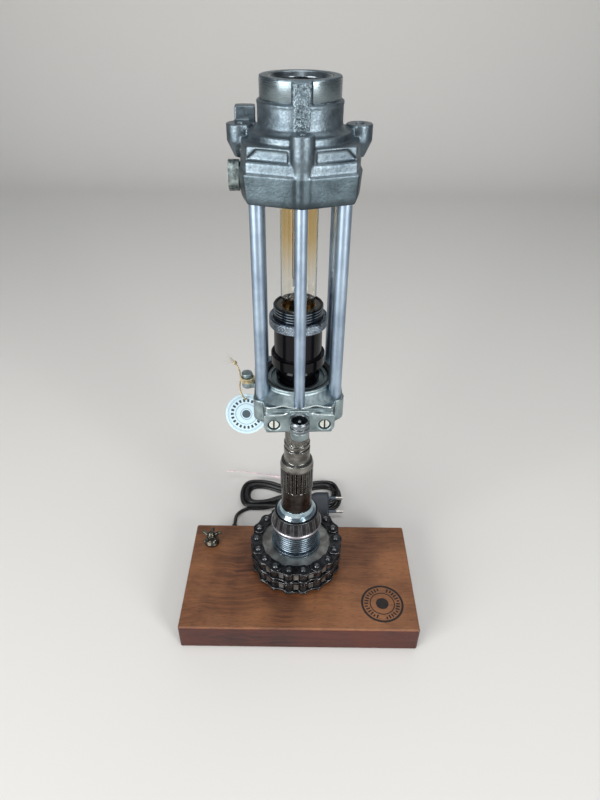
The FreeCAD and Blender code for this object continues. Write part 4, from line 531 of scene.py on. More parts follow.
def burntRoundel(shape):
    centre = Vector((roundel["spot"][0] * mm, roundel["spot"][1] * mm, deck))
    top = roundel["thickness"]
    for outer, inner in (roundel["ringRadii"], roundel["innerRadii"], roundel["dotRadii"]):
        lathe(shape, [(inner, -0.2), (outer, -0.2), (outer, top), (inner, top)], centre, 96)
    for tick in range(roundel["ticks"]):
        if tick % 16 in (7, 8):
            continue
        angle = 2 * math.pi * tick / roundel["ticks"]
        outward = Vector((math.cos(angle), math.sin(angle), 0))
        across = Vector((-outward.y, outward.x, 0)) * roundel["tickWidth"] * mm / 2
        outer, inner = roundel["tickRadii"]
        if tick % 4 == 1:
            inner += 1.4
        corners = []
        for height in (-0.2, top):
            lift = Vector((0, 0, height * mm))
            corners += [shape.verts.new(centre + outward * r * mm + across * s + lift) for r, s in ((inner,
                -1), (outer, -1), (outer, 1), (inner, 1))]
        closedBox(shape, corners)


mark = meshPiece("burntRoundel", "lamp", burntRoundel, charredWood)
print("board done")

# Steel parts of the base: the thin painted cover, its zinc-plated screws and four felt feet
paintedPlate = plainFinish("paintedPlate", {"colour": "#34363a", "dark": "#2a2c30", "cloudMm": 40,
    "grainMm": 0.8, "roughness": 0.5, "depthMm": 0.03})
zincPlate = metalFinish("zincPlate", {"colour": "#c9cdc8", "dark": "#9aa09c", "cloudMm": 3,
    "roughness": 0.28})
woolFelt = plainFinish("woolFelt", {"colour": "#2b2724", "dark": "#1c1917", "grainMm": 0.5,
    "roughness": 0.95, "spread": 0.04, "depthMm": 0.25})
dress(paintedPlate, "base_cover")
dress(zincPlate, "cover_screws", "base_washer", "base_nut", "switch_nut", "holder_nut")
dress(woolFelt, "base_feet")

# Oiled chain steel: punched plates gone dark brown-black with old oil, brighter on their edges as wear and painted
# highlight
chainSteel = metalFinish("oiledChainSteel", {"colour": "#55565a", "dark": "#2e2e30", "edge": "#a0a5a8",
    "wearAndHighlight": 0.85, "cloudMm": 7, "grainMm": 0.8, "roughness": 0.33, "spread": 0.12, "depthMm": 0.05})
# Case-hardened pins and rollers: polished by use, with oil left in the corners
pinSteel = metalFinish("hardenedPinSteel", {"colour": "#7d8083", "dark": "#3f4042", "edge": "#c8ccce",
    "edgeMm": 0.4, "cloudMm": 4, "grainMm": 0.5, "roughness": 0.3, "spread": 0.1})
# Sprocket steel: sawn and turned, dull grey with a warm film of old rust
sprocketSteel = metalFinish("turnedSprocketSteel", {"colour": "#b2b4b0", "dark": "#777673",
    "edge": "#c9cac6", "wearAndHighlight": 0.4, "cloudMm": 14, "grainMm": 0.9, "roughness": 0.46, "spread": 0.1,
    "depthMm": 0.06})
dressRounded(chainSteel, chain_outer_plates=(0.3, 2), chain_inner_plates=(0.3, 2), chain_middle_plates=(0.3, 2))
dress(pinSteel, "chain_pins")
dressRounded(pinSteel, chain_rollers=(0.35, 2))
dressRounded(sprocketSteel, duplex_sprocket=(0.45, 2))

# Riveted heads: every chain pin ends in a low hammered dome with a worn flat in its middle
chain = {"pitch": 15.875, "links": 18, "turn": 260.8, "low": 3.5, "pinLength": 36.0, "headRadius": 3.3,
    "headRise": 1.1, "flatRadius": 1.5}


def rivetHeads(shape):
    pitchRadius = chain["pitch"] / (2 * math.sin(math.pi / chain["links"]))
    top = chain["low"] + chain["pinLength"]
    for link in range(chain["links"]):
        angle = math.radians(chain["turn"] + 360 / chain["links"] * link)
        foot = onAxis(pitchRadius * math.cos(angle), pitchRadius * math.sin(angle), top)
        rise, wide = chain["headRise"], chain["headRadius"]
        lathe(shape, [(0, -0.9), (wide, -0.9), (wide, -0.1), (wide * 0.86, rise * 0.45),
            (chain["flatRadius"], rise), (chain["flatRadius"] * 0.6, rise * 0.72), (0, rise * 0.72)], foot,
            20)


rivets = meshPiece("chainRivets", "lamp", rivetHeads, pinSteel)
shadeByAngle(rivets, 50)
print("chain done")

# Turned and ground steels of the column. Turning leaves fine rings round the axis, so their grain is
# squeezed along Z; the thread crests stay bright while the roots are painted blue-black as shade.
collarSteel = metalFinish("blueCollarSteel", {"colour": "#8797a2", "dark": "#5c6872", "radial": (24.45,
    25.05, "#0a0e12", None), "edge": "#c3d2dc", "edgeMm": 0.3, "wearAndHighlight": 0.8, "cloudMm": 12, "grainMm": 0.35,
    "stretch": (0.05, 0.05, 1), "roughness": 0.3})
raceSteel = metalFinish("groundRaceSteel", {"colour": "#63686c", "dark": "#33363a", "edge": "#b8c0c4",
    "edgeMm": 0.4, "wearAndHighlight": 0.8, "cloudMm": 9, "grainMm": 0.3, "stretch": (0.05, 0.05, 1), "roughness": 0.25,
    "spread": 0.07, "depthMm": 0.01})
# The cage's outer rim is painted pale as a highlight.
cageSteel = metalFinish("pressedCageSteel", {"colour": "#3f3e40", "dark": "#29282a", "radial": (27.0, 27.2,
    None, "#b9b3b8"), "edge": "#b5bcbe", "cloudMm": 6, "grainMm": 0.6, "roughness": 0.38, "spread": 0.1,
    "depthMm": 0.04})
rollerSteel = metalFinish("bearingRollerSteel", {"colour": "#5d5e61", "dark": "#3f4043", "grainMm": 0.3,
    "roughness": 0.24, "spread": 0.06, "depthMm": 0.01})
dishSteel = metalFinish("polishedDishSteel", {"colour": "#c4d6de", "dark": "#7f97a3", "edge": "#eef6fa",
    "edgeMm": 0.4, "wearAndHighlight": 0.7, "cloudMm": 16, "grainMm": 0.3, "stretch": (0.04, 0.04, 1),
    "roughness": 0.17, "spread": 0.05, "depthMm": 0.01})
# The spline roots are painted near-black as shade.
shaftSteel = metalFinish("oxidisedShaftSteel", {"colour": "#4a4441", "dark": "#2f2a28", "edge": "#cfd2cd",
    "radial": (15.8, 16.25, "#0c0a09", None), "upper": "#85837e", "upperDark": "#504d4a",
    "upperFrom": 154.0, "edgeMm": 0.45, "wearAndHighlight": 0.85, "cloudMm": 9, "stretch": (0.08, 0.08, 1),
    "roughness": 0.24})
dressRounded(collarSteel, threaded_collar=(0.2, 2))
dressRounded(raceSteel, bearing_race=(0.3, 2))
dressRounded(cageSteel, bearing_cage=(0.25, 2))
dressRounded(rollerSteel, bearing_rollers=(0.25, 2))
dressRounded(dishSteel, dished_ring=(0.4, 3))
dressRounded(shaftSteel, splined_shaft=(0.3, 2))
print("column done")

# Sand-cast aluminium, tumbled and rubbed: grey with a faint blue, pebbled skin, its edges painted bright as wear and
# highlight
castPale = {"colour": "#9dabae", "dark": "#6c7a7d", "edge": "#dce8e9", "edgeMm": 0.7, "wearAndHighlight": 0.8,
    "cloudMm": 13, "grainMm": 1.1, "roughness": 0.42, "spread": 0.1, "depthMm": 0.16}
# The grey casting's block below upperFrom is painted darker as shade; the shoulder and neck above it get the lighter
# upper tone as painted light.
castGrey = {"colour": "#525e64", "dark": "#3c464b", "upper": "#79868d", "upperDark": "#56626a",
    "upperFrom": 452.5, "strength": 0.8, "edge": "#bccacf", "edgeMm": 0.7, "wearAndHighlight": 0.75, "cloudMm": 16,
    "grainMm": 1.2, "roughness": 0.42, "spread": 0.1, "depthMm": 0.18}
lowerAluminium = metalFinish("sandCastAluminiumPale", castPale)
upperAluminium = metalFinish("sandCastAluminiumGrey", castGrey)

# Heights from the top of the base where the two castings begin and end, in millimetres
head = {"upperFoot": 432.0, "blockTop": 453.5, "discTop": 476.0, "neckStep": 494.5}
castShape = {"voxel": 0.75, "rounds": 5, "apronFront": 45.5, "apronLow": 251.5, "apronHigh": 265.5,
    "apronHalf": 32.3, "lipRadius": 0.95, "lipHeight": 254.3, "rimRadius": 34.2, "neckFoot": 36.4,
    "pebble": 0.07}


def apron(side):
    # The slope from the round rim down to the wavy lip, in front (side -1) and behind (side 1).
    columns = 17
    half, front = castShape["apronHalf"], castShape["apronFront"]
    low, high = castShape["apronLow"], castShape["apronHigh"]

    def build(shape):
        rows = []
        for column in range(columns):
            across = -1 + 2 * column / (columns - 1)
            x = across * half
            rimY = math.sqrt(castShape["rimRadius"] ** 2 - x * x)
            lipY = front - 3.2 * abs(across) ** 3
            wave = 1.3 * math.cos(across * 2 * math.pi)
            slope = ((rimY + lipY) / 2 + 0.5, (low + high) / 2 + 1.6)
            outline = ((rimY - 4, low), (lipY, low), (lipY, low + 3.4 - wave), slope, (rimY, high), (rimY - 4, high))
            rows.append([shape.verts.new(onHead(x, side * y, z)) for y, z in outline])
        skin(shape, rows)
    return build


def wavyLip(side, height, reach, swing):
    # The bright cast lip that waves along the foot of the apron.
    points = []
    for step in range(41):
        across = -1 + step / 20
        points.append(onHead(across * castShape["apronHalf"], side * (reach - 3.2 * abs(across) ** 3),
            height - swing * math.cos(across * 2 * math.pi)))
    return lambda shape: tubeAlong(shape, points, castShape["lipRadius"] * mm, 10)


def cadCopy(name):
    return nodes[name].data.copy()


def pebbled(item, amount, sizeMm):
    # Moves the skin in and out a little, as a sand mould or wear leaves it.
    normals = [vertex.normal.copy() for vertex in item.data.vertices]
    for vertex, normal in zip(item.data.vertices, normals):
        vertex.co += normal * noise.noise(vertex.co * perMetre(sizeMm)) * amount * mm


lowerSources = [cadCopy("lower_housing")]
for side in (-1, 1):
    lowerSources.append(looseMesh(apron(side)))
    lowerSources.append(looseMesh(wavyLip(side, castShape["lipHeight"], castShape["apronFront"] + 0.2, 1.3)))
lowerCasting = blended("lowerCasting", "lamp", lowerSources, castShape["voxel"], castShape["rounds"], lowerAluminium)
pebbled(lowerCasting, castShape["pebble"], 2.5)
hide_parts("lower_housing")
print("lower casting done")


def neckFillet(shape):
    # Hollow curve where the neck grows out of the shoulder.
    foot, neck = castShape["neckFoot"], 30.2
    profile = [(neck - 3, head["discTop"] - 1.5), (foot, head["discTop"] - 1.5)]
    for step in range(7):
        angle = math.pi / 2 * step / 6
        profile.append((foot - (foot - neck) * math.sin(angle), head["discTop"] + 6.0 * (1 - math.cos(angle))))
    profile.append((neck - 3, head["discTop"] + 6.0))
    lathe(shape, profile, onAxis(0, 0, 0), 72)


def neckLedge(shape):
    # The machined step's raised burr, which shines.
    step = head["neckStep"]
    lathe(shape, [(28.2, step - 1.2), (31.0, step - 1.2), (31.1, step + 0.1), (30.4, step + 0.7), (28.2, step + 0.2)],
          onAxis(0, 0, 0), 96)


upperSources = [cadCopy("upper_housing"), looseMesh(neckFillet), looseMesh(neckLedge)]
upperCasting = blended("upperCasting", "lamp", upperSources, castShape["voxel"], castShape["rounds"], upperAluminium)
headBack = headSpin.inverted()


def headSpot(spot):
    # Back to millimetres in the head's own frame.
    return headBack @ Vector(((spot.x - axis.x) / mm, (spot.y - axis.y) / mm, (spot.z - deck) / mm))


def roundBlock(item):
    # The block leans in towards its foot and its lower corners are rounded off.
    for vertex in item.data.vertices:
        spot = headSpot(vertex.co)
        if spot.z > head["blockTop"] or math.hypot(spot.x, spot.y) < 30:
            continue
        drop = (head["blockTop"] - spot.z) / (head["blockTop"] - head["upperFoot"])
        corner = max(0.0, (drop - 0.72) / 0.28)
        reach = min(1.0, max(0.0, (math.hypot(spot.x, spot.y) - 30) / 10))
        shrink = 1 - reach * (0.035 * drop + 0.03 * corner ** 2)
        spot.x *= shrink
        spot.y *= 1 - reach * (0.012 * drop + 0.02 * corner ** 2)
        vertex.co = onHead(spot.x, spot.y, spot.z)


roundBlock(upperCasting)
pebbled(upperCasting, castShape["pebble"], 2.2)
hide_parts("upper_housing")

# Neck: a band turned smooth on the lathe, cut by a rib that kept the mould's coarse skin
turnedAluminium = metalFinish("turnedAluminium", {"colour": "#828f94", "dark": "#707c81", "edge": "#c3ced1",
    "edgeMm": 0.4, "wearAndHighlight": 0.6, "cloudMm": 12, "stretch": (0.05, 0.05, 1), "roughness": 0.27,
    "spread": 0.06, "depthMm": 0.01})
coarseAluminium = metalFinish("sandCastAluminiumCoarse", {"colour": "#818f97", "dark": "#4a565c",
    "edge": "#cbd8dd", "edgeMm": 0.4, "wearAndHighlight": 0.7, "cloudMm": 2.2, "grainMm": 0.8, "strength": 0.9,
    "roughness": 0.4, "spread": 0.1, "depthMm": 0.35})
neck = {"radius": 28.95, "core": 28.2, "low": 495.6, "high": 509.5, "gap": 14.2, "steps": 110}
rib = {"half": 6.5, "front": 30.9, "back": 27.6, "low": 477.5, "high": 508.7, "columns": 36, "rows": 84, "round": 1.6,
       "pebbleMm": 1.1, "pebble": 0.34, "fineMm": 0.6, "fine": 0.14}


def turnedBand(shape):
    low, high, radius, core = neck["low"], neck["high"], neck["radius"], neck["core"]
    outline = [(core, low), (radius - 0.3, low), (radius, low + 0.4), (radius, high - 0.7), (radius - 0.6,
        high), (core, high)]
    sections = []
    for step in range(neck["steps"] + 1):
        angle = math.radians(-90 + neck["gap"] + (360 - 2 * neck["gap"]) * step / neck["steps"])
        sections.append([shape.verts.new(onHead(r * math.cos(angle), r * math.sin(angle), z)) for r, z in outline])
    skin(shape, sections)


def coarseRib(shape):
    # A slab with rounded sides whose front is pebbled all the way up.
    columns, rows = rib["columns"], rib["rows"]
    front, back = [], []
    for row in range(rows + 1):
        z = rib["low"] + (rib["high"] - rib["low"]) * row / rows
        frontRow, backRow = [], []
        for column in range(columns + 1):
            across = -1 + 2 * column / columns
            sink = rib["round"] * abs(across) ** 5 + 0.8 * max(0.0, (row / rows - 0.97) / 0.03)
            spot = Vector((across * rib["half"], -rib["front"] + sink, z))
            grit = sum(noise.noise(spot / rib[size]) * rib[much] for size, much in (("pebbleMm", "pebble"),
                ("fineMm", "fine")))
            frontRow.append(shape.verts.new(onHead(spot.x, spot.y - grit * (1 - abs(across) ** 8), z)))
            backRow.append(shape.verts.new(onHead(spot.x, -rib["back"], z)))
        front.append(frontRow)
        back.append(backRow)
    skin(shape, [front[row] + list(reversed(back[row])) for row in range(rows + 1)], capped=False)
    for row in (0, -1):
        for column in range(columns):
            shape.faces.new((front[row][column], front[row][column + 1], back[row][column + 1], back[row][column]))


neckBand = meshPiece("turnedNeckBand", "lamp", turnedBand, turnedAluminium)
neckRib = meshPiece("coarseNeckRib", "lamp", coarseRib, coarseAluminium)
for item in (neckBand, neckRib):
    shadeByAngle(item, 40)

# Lips that the castings' edges left on the front, in near-white aluminium that paints their highlight
lipHighlightAluminium = metalFinish("lipHighlightAluminium", {"colour": "#e8f2f2", "dark": "#c2cfd0", "cloudMm": 6,
    "grainMm": 0.7, "roughness": 0.26, "spread": 0.06, "depthMm": 0.03})
lips = {"radius": 0.75, "upper": [(33.2, -32.2, 258.4), (31.4, -36.4, 258.4), (30.3, -40.6, 258.4), (27.0,
    -43.7, 258.6), (21.5, -43.7, 259.0), (14.5, -42.5, 259.9), (7.5, -43.7, 258.9)], "upperMiddle": (0,
    -44.9, 258.3), "lower": [(30.0, -47.5, 253.1), (22.0, -47.6, 253.2), (13.5, -47.0, 253.7), (9.6, -45.4,
    254.8)], "lowerMiddle": (0, -45.4, 255.4)}


def castLips(shape):
    for run, middle in (("upper", "upperMiddle"), ("lower", "lowerMiddle")):
        left = [(-x, y, z) for x, y, z in lips[run]]
        points = smoothRun(left + [lips[middle]] + list(reversed(lips[run])), 5)
        spots = [onHead(*(p / mm)) for p in points]
        tubeAlong(shape, spots, lips["radius"] * mm, 10, lambda share: min(1.0, 0.3 + 8 * share, 0.3 + 8 * (1 - share)))


lipPiece = meshPiece("castLips", "lamp", castLips, lipHighlightAluminium)
shadeByAngle(lipPiece, 60)

# Stepped plate round the holder's foot, inside the rim
stepped = [(18.0, 256.0), (18.0, 261.8), (18.6, 262.4), (21.4, 262.4), (21.8, 261.4), (24.2, 261.4), (24.6,
    263.6), (25.2, 264.0), (27.6, 264.0), (28.0, 263.6), (28.0, 256.0)]
plate = meshPiece("steppedPlate", "lamp", lambda shape: lathe(shape, stepped, onAxis(0, 0, 0), 96), lowerAluminium)
shadeByAngle(plate, 30)
print("upper casting done")

# Drawn aluminium tube: smooth, pale blue-grey, with faint lengthwise lines from the die
drawnTube = metalFinish("drawnAluminiumTube", {"colour": "#9fb0c0", "dark": "#8494a6", "edge": "#dde6ee",
    "wearAndHighlight": 0.4, "cloudMm": 25, "grainMm": 0.9, "stretch": (1, 1, 0.03), "roughness": 0.4, "spread": 0.05,
    "depthMm": 0.004})
studSteel = metalFinish("threadedStudSteel", {"colour": "#8b8f92", "dark": "#5d6164", "grainMm": 0.9,
    "stretch": (0.05, 0.05, 1), "roughness": 0.35, "depthMm": 0.15})
# Cylinder liner: honed bore of the neck, its lip painted bright as wear and highlight, nearly black inside
honedLiner = metalFinish("honedLinerSteel", {"colour": "#8d989e", "dark": "#525b60", "edge": "#eef6fa",
    "edgeMm": 0.8, "cloudMm": 10, "stretch": (0.06, 0.06, 1), "roughness": 0.22, "spread": 0.06})
# Side plug of cast zinc: pale, chalky and pitted
chalkyZinc = metalFinish("castZincPlug", {"colour": "#a3b0ae", "dark": "#2c3133", "edge": "#dce6e4",
    "edgeMm": 0.7, "wearAndHighlight": 0.7, "grainMm": 0.9, "roughness": 0.5, "spread": 0.1, "depthMm": 0.2})
turnedBrightwork = metalFinish("turnedPortBrightwork", {"colour": "#858d92", "dark": "#596166",
    "edge": "#dfe7ea", "edgeMm": 0.4, "wearAndHighlight": 0.8, "cloudMm": 6, "grainMm": 0.3, "stretch": (0.05, 0.05, 1),
    "roughness": 0.34, "spread": 0.06, "depthMm": 0.01})
oilSeal = plainFinish("nitrileOilSeal", {"colour": "#1c1e20", "dark": "#101112", "cloudMm": 6,
    "grainMm": 0.5, "roughness": 0.45, "spread": 0.1, "depthMm": 0.03})
tieTube = metalFinish("zincTieTube", {"colour": "#b3b6ae", "dark": "#83877f", "cloudMm": 6, "grainMm": 1.0,
    "stretch": (0.05, 0.05, 1), "roughness": 0.32, "depthMm": 0.12})
dressRounded(drawnTube, corner_tubes=(0.3, 2), centre_tubes=(0.3, 2))
dress(studSteel, "cage_studs")
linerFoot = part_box("neck_liner")[0].z / mm - deck / mm
linerOutline = [(19.9, linerFoot), (22.3, linerFoot), (22.3, 509.0), (22.0, 509.6), (21.7, 509.6), (19.9, 506.3)]
liner = meshPiece("honedLiner", "lamp", lambda shape: lathe(shape, linerOutline, onAxis(0, 0, 0), 128), honedLiner)
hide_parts("neck_liner")
shadeByAngle(liner, 25)
dressRounded(chalkyZinc, side_plug=(0.9, 3))
dressRounded(turnedBrightwork, port_fitting=(0.35, 3))
dressRounded(oilSeal, recess_seal=(0.4, 3))
dress(tieTube, "threaded_tube")

# Slotted screws: bright zinc, with a dark inset that paints the shadow in the bottom of the slot
brightZinc = metalFinish("brightZincScrew", {"colour": "#f1f4ee", "dark": "#cfd4cc", "cloudMm": 3,
    "roughness": 0.3})
slotShadeBlack = plainFinish("slotShadeBlack", {"colour": "#141512", "dark": "#0b0c0a", "cloudMm": 3, "roughness": 0.5,
    "spread": 0.1})
screwSlot = {"x": 22.5, "height": 242.56, "half": 0.74, "reach": 4.0, "front": -46.0, "back": -44.75}
dressRounded(brightZinc, flange_screws=(0.25, 2))


# A dark box in each screw's slot: painted shadow.
def slotOil(shape):
    for side in (-1, 1):
        corners = [shape.verts.new(onHead(side * screwSlot["x"] + x * screwSlot["half"], screwSlot[y],
            screwSlot["height"] + z * screwSlot["reach"])) for y in ("front", "back") for x, z in ((-1, -1),
            (1, -1), (1, 1), (-1, 1))]
        closedBox(shape, corners)


slotShadePiece = meshPiece("slotOil", "lamp", slotOil, slotShadeBlack)
print("cage done")

# Lamp holder: stove-enamelled body and cap, black-nickel threads and knurled ring, black glazed ceramic inside
enamelBlack = plainFinish("stoveEnamelBlack", {"colour": "#0c0b0e", "dark": "#070709", "cloudMm": 12,
    "grainMm": 1.4, "roughness": 0.12, "spread": 0.04, "depthMm": 0.01, "specular": 0.15})
blackNickel = metalFinish("blackNickel", {"colour": "#7d8a96", "dark": "#30353b", "edge": "#dbe6ef",
    "edgeMm": 0.45, "wearAndHighlight": 1.0, "cloudMm": 6, "stretch": (0.06, 0.06, 1), "roughness": 0.22,
    "spread": 0.06, "depthMm": 0.01})
glazedCeramic = plainFinish("blackGlazedCeramic", {"colour": "#17171a", "dark": "#101013", "cloudMm": 9,
    "grainMm": 1.0, "roughness": 0.2, "spread": 0.04, "depthMm": 0.01})
pressedBrass = metalFinish("pressedBrass", {"colour": "#d0a860", "dark": "#9a7838", "roughness": 0.26,
    "spread": 0.07, "depthMm": 0.01})
lampGlassBlack = plainFinish("vitriteGlass", {"colour": "#17151a", "dark": "#0e0d10", "cloudMm": 3,
    "grainMm": 0.6, "roughness": 0.15, "spread": 0.04, "depthMm": 0.01})
solderTin = metalFinish("solderTin", {"colour": "#b9bbb9", "dark": "#8b8e8d", "cloudMm": 2,
    "roughness": 0.38, "spread": 0.1, "depthMm": 0.05})
dressRounded(enamelBlack, holder_foot=(0.5, 3), holder_cap=(0.6, 3))
dress(glazedCeramic, "holder_insulator")
dress(pressedBrass, "socket_shell")
dressRounded(pressedBrass, bulb_cap=(0.4, 3))
dress(lampGlassBlack, "bulb_insulator")
dress(solderTin, "bulb_contact", "centre_contact")

# The ring's rim is pressed into small pyramids by a knurling wheel, whose edges are painted bright as wear and
# highlight
knurl = {"bore": 21.7, "radius": 25.6, "low": 318.2, "high": 327.7, "pitch": 2.7, "depth": 0.6,
    "columns": 360, "rows": 22, "edge": 0.7}


def knurledRing(shape):
    def zigzag(value):
        return abs(value % 1 * 2 - 1)

    around = round(2 * math.pi * knurl["radius"] / knurl["pitch"])
    low, high, edge, bore = knurl["low"], knurl["high"], knurl["edge"], knurl["bore"]
    plain = knurl["radius"] - knurl["depth"]
    rings = []
    for column in range(knurl["columns"]):
        share = column / knurl["columns"]
        angle = 2 * math.pi * share
        outline = [(bore, low), (bore + 1.2, low - 0.2), (plain - edge, low), (plain, low + edge)]
        for row in range(1, knurl["rows"]):
            height = low + edge + (high - low - 2 * edge) * row / knurl["rows"]
            across, up = share * around, (height - low) / knurl["pitch"]
            rise = min(zigzag(across + up), zigzag(across - up))
            outline.append((plain + knurl["depth"] * rise, height))
        outline += [(plain, high - edge), (plain - edge, high), (bore + 1.2, high + 0.2), (bore, high)]
        rings.append([shape.verts.new(onAxis(radius * math.cos(angle), radius * math.sin(angle),
            height)) for radius, height in outline])
    skin(shape, rings, looped=True, capped=False)


shadeRing = meshPiece("knurledRing", "ring", knurledRing, blackNickel)
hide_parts("shade_ring")
shadeByAngle(shadeRing, 30)


def holderFinish(name, look):
    # Black enamel below, bare black nickel on the thread above, with painted shade in the thread's roots.
    material, tree, shader, place = startFinish(name, look["enamel"], 0.12)
    shader.inputs["Specular IOR Level"].default_value = look["specular"]
    foot = deck + look["threadLow"] * mm
    thread = ramp(tree, heightOf(tree, place), foot - 0.2 * mm, foot)
    drawn = speckle(tree, stretched(tree, place, (1, 1, 0.04)), look["grainMm"], 3.0).outputs["Fac"]
    crest = ramp(tree, fromAxis(tree, place), look["root"] * mm, look["crest"] * mm)
    nickel = blendColours(tree, crest, look["rootShade"], blendColours(tree, drawn, look["nickelDark"], look["nickel"]))
    tree.links.new(blendColours(tree, thread, look["enamel"], nickel), shader.inputs["Base Color"])
    tree.links.new(thread, shader.inputs["Metallic"])
    tree.links.new(ramp(tree, drawn, 0.3, 0.7, 0.07, 0.2), shader.inputs["Roughness"])
    return material


dress(holderFinish("enamelAndNickel", {"enamel": "#0c0b0e", "nickel": "#98a4ae", "nickelDark": "#4a525a",
    "rootShade": "#07080a", "root": 20.9, "crest": 21.5, "specular": 0.15, "threadLow": 318.0,
    "grainMm": 1.5}), "holder_body")
smoothEdges(nodes["holder_body"], 0.25, 2)


def glassFinish(name, look):
    material, tree, shader, place = startFinish(name, look["colour"], 0.02)
    if "clear" in look:
        share = ramp(tree, heightOf(tree, place), deck + look["clearBelow"] * mm, deck + look["amberAbove"] * mm)
        tree.links.new(blendColours(tree, share, look["clear"], look["colour"]), shader.inputs["Base Color"])
    shader.inputs["Transmission Weight"].default_value = 1.0
    shader.inputs["IOR"].default_value = 1.45
    return material


# Blown soda-lime tube, amber stained: golden at the top, nearly clear towards the cap
amberGlass = glassFinish("amberTubeGlass", {"colour": "#f0ddb4", "clear": "#faf8f2", "clearBelow": 362.0,
    "amberAbove": 400.0})
dress(amberGlass, "bulb_glass")
# Clear glass stem that carries the filament
dress(glassFinish("clearStemGlass", {"colour": "#f2f0ea"}), "bulb_stem")
carbonFilament = metalFinish("drawnFilament", {"colour": "#6b4a2e", "dark": "#3b2a1f", "cloudMm": 3,
    "grainMm": 0.3, "roughness": 0.4, "depthMm": 0.01})
dress(carbonFilament, "bulb_filament")
for name in ("bulb_glass", "bulb_stem", "bulb_filament"):
    shadeByAngle(nodes[name], 40)
print("holder and bulb done")

# Rotary switch below the deck, and the worn iron star handle above it
switchBlack = plainFinish("phenolicSwitch", {"colour": "#1b1b1d", "dark": "#121213", "cloudMm": 6,
    "grainMm": 0.7, "roughness": 0.4})
# Its edges are painted near-white, as wear and as a painted highlight.
handleIron = metalFinish("wornCastIron", {"colour": "#615f56", "dark": "#2b2823", "edge": "#e2e3da",
    "edgeMm": 0.7, "cloudMm": 3.5, "grainMm": 0.8, "roughness": 0.34, "spread": 0.12, "depthMm": 0.15})
dress(switchBlack, "switch_body", "terminal_block")
dress(zincPlate, "switch_spindle")
handle = {"spot": (-107.6, 44.0), "height": 19.0, "stem": 4.6, "skirt": 8.8, "reach": 12.2, "arm": 2.7,
    "arms": 5, "turn": 14.0, "rises": (5.5, 2.0, 4.2, 1.2, 3.4), "bore": 2.7}


def handleSolids():
    centre = Vector((handle["spot"][0] * mm, handle["spot"][1] * mm, deck))
    height, stem = handle["height"], handle["stem"]
    core = [(handle["bore"], 4.6), (7.4, 4.6), (7.4, 0.5), (handle["skirt"], 0.5), (handle["skirt"], 3.6), (6.4, 6.4),
            (stem, height * 0.5), (stem + 0.4, height - 4), (stem - 1.8, height - 0.3), (0.01, height - 0.3),
            (0.01, height - 3.9), (handle["bore"], height - 3.9)]
    solids = [looseMesh(lambda shape: lathe(shape, core, centre, 40))]
    for index in range(handle["arms"]):
        angle = math.radians(360 / handle["arms"] * index + handle["turn"])
        rise = handle["rises"][index]
        points = []
        for step in range(9):
            share = step / 8
            out = (stem - 1) + (handle["reach"] - stem + 1) * share
            lift = height * 0.42 + 2.5 + rise * share ** 0.7 + 0.8 * math.sin(share * math.pi)
            points.append(centre + Vector((out * math.cos(angle) * mm, out * math.sin(angle) * mm, lift * mm)))
        solids.append(looseMesh(lambda shape, points=points: tubeAlong(
            shape, points, handle["arm"] * mm, 14, lambda share: 1 - 0.42 * share + 0.3 * max(0.0, share - 0.7))))
    return solids


starHandle = blended("starHandle", "switch_knob", handleSolids(), 0.35, 6, handleIron)
pebbled(starHandle, 0.28, 2.0)
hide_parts("switch_handle")
print("switch done")

# Moulded plug: soft vinyl over a hard core, blue-black, with grip ridges along its flanks
plugVinyl = plainFinish("mouldedPlugVinyl", {"colour": "#2a323c", "dark": "#1c222a", "cloudMm": 14,
    "grainMm": 0.7, "roughness": 0.42, "depthMm": 0.03})
# Nickel-plated pins with pale bright ends, and their dark moulded sleeves
nickelPin = metalFinish("nickelPin", {"colour": "#dedbd6", "dark": "#b9b5af", "roughness": 0.24,
    "spread": 0.06, "depthMm": 0.01})
pinSleeve = plainFinish("pinSleeveNylon", {"colour": "#5b6672", "dark": "#454f5a", "cloudMm": 4,
    "grainMm": 0.5, "roughness": 0.38, "spread": 0.06})
dressRounded(nickelPin, plug_pins=(0.9, 4))
dress(pinSleeve, "plug_sleeves")
plug = {"centre": (21.0, 129.0, 14.8), "length": 36.0, "width": 35.3, "thickness": 13.7, "tilt": 30.0,
        "ridges": 7, "ridgeDepth": 0.5}


def plugForm(shape):
    # Rounded sections from the cord's neck to the flat face that carries the pins.
    turn = Matrix.Rotation(math.radians(plug["tilt"]), 4, "X")
    centre = Vector(plug["centre"]) * mm
    steps, sides = 44, 40
    rings = []
    for step in range(steps + 1):
        share = step / steps
        along = (share - 0.5) * plug["length"]
        swell = min(1.0, 0.24 + 1.25 * share) if share < 0.62 else 1.0
        swell = 0.5 - 0.5 * math.cos(math.pi * swell) if swell < 1 else 1.0
        wide = plug["width"] / 2 * (0.22 + 0.77 * swell)
        thick = plug["thickness"] / 2 * (0.52 + 0.46 * swell)
        if 0.55 < share < 0.9:
            wide -= plug["ridgeDepth"] * (0.5 - 0.5 * math.cos((share - 0.55) / 0.35 * plug["ridges"] * 2 * math.pi))
        if share > 0.95:
            wide, thick = wide - (share - 0.95) * 18, thick - (share - 0.95) * 18
        ring = []
        for side in range(sides):
            angle = 2 * math.pi * side / sides
            c, s = math.cos(angle), math.sin(angle)
            y = wide * math.copysign(abs(c) ** 0.62, c)
            z = thick * math.copysign(abs(s) ** 0.72, s)
            ring.append(shape.verts.new(centre + turn @ (Vector((along, y, z)) * mm)))
        rings.append(ring)
    skin(shape, rings)


plugBody = meshPiece("mouldedPlug", "lamp", plugForm, plugVinyl)
shadeByAngle(plugBody, 40)
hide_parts("plug_body")

# Rubber grommet where the flex leaves the board
grommetRubber = plainFinish("grommetRubber", {"colour": "#1a1a1b", "dark": "#101011", "grainMm": 0.5,
    "roughness": 0.55, "depthMm": 0.03})
dress(grommetRubber, "cord_grommet")
dress(vinylFlex, "inner_lead", "riser_cable")

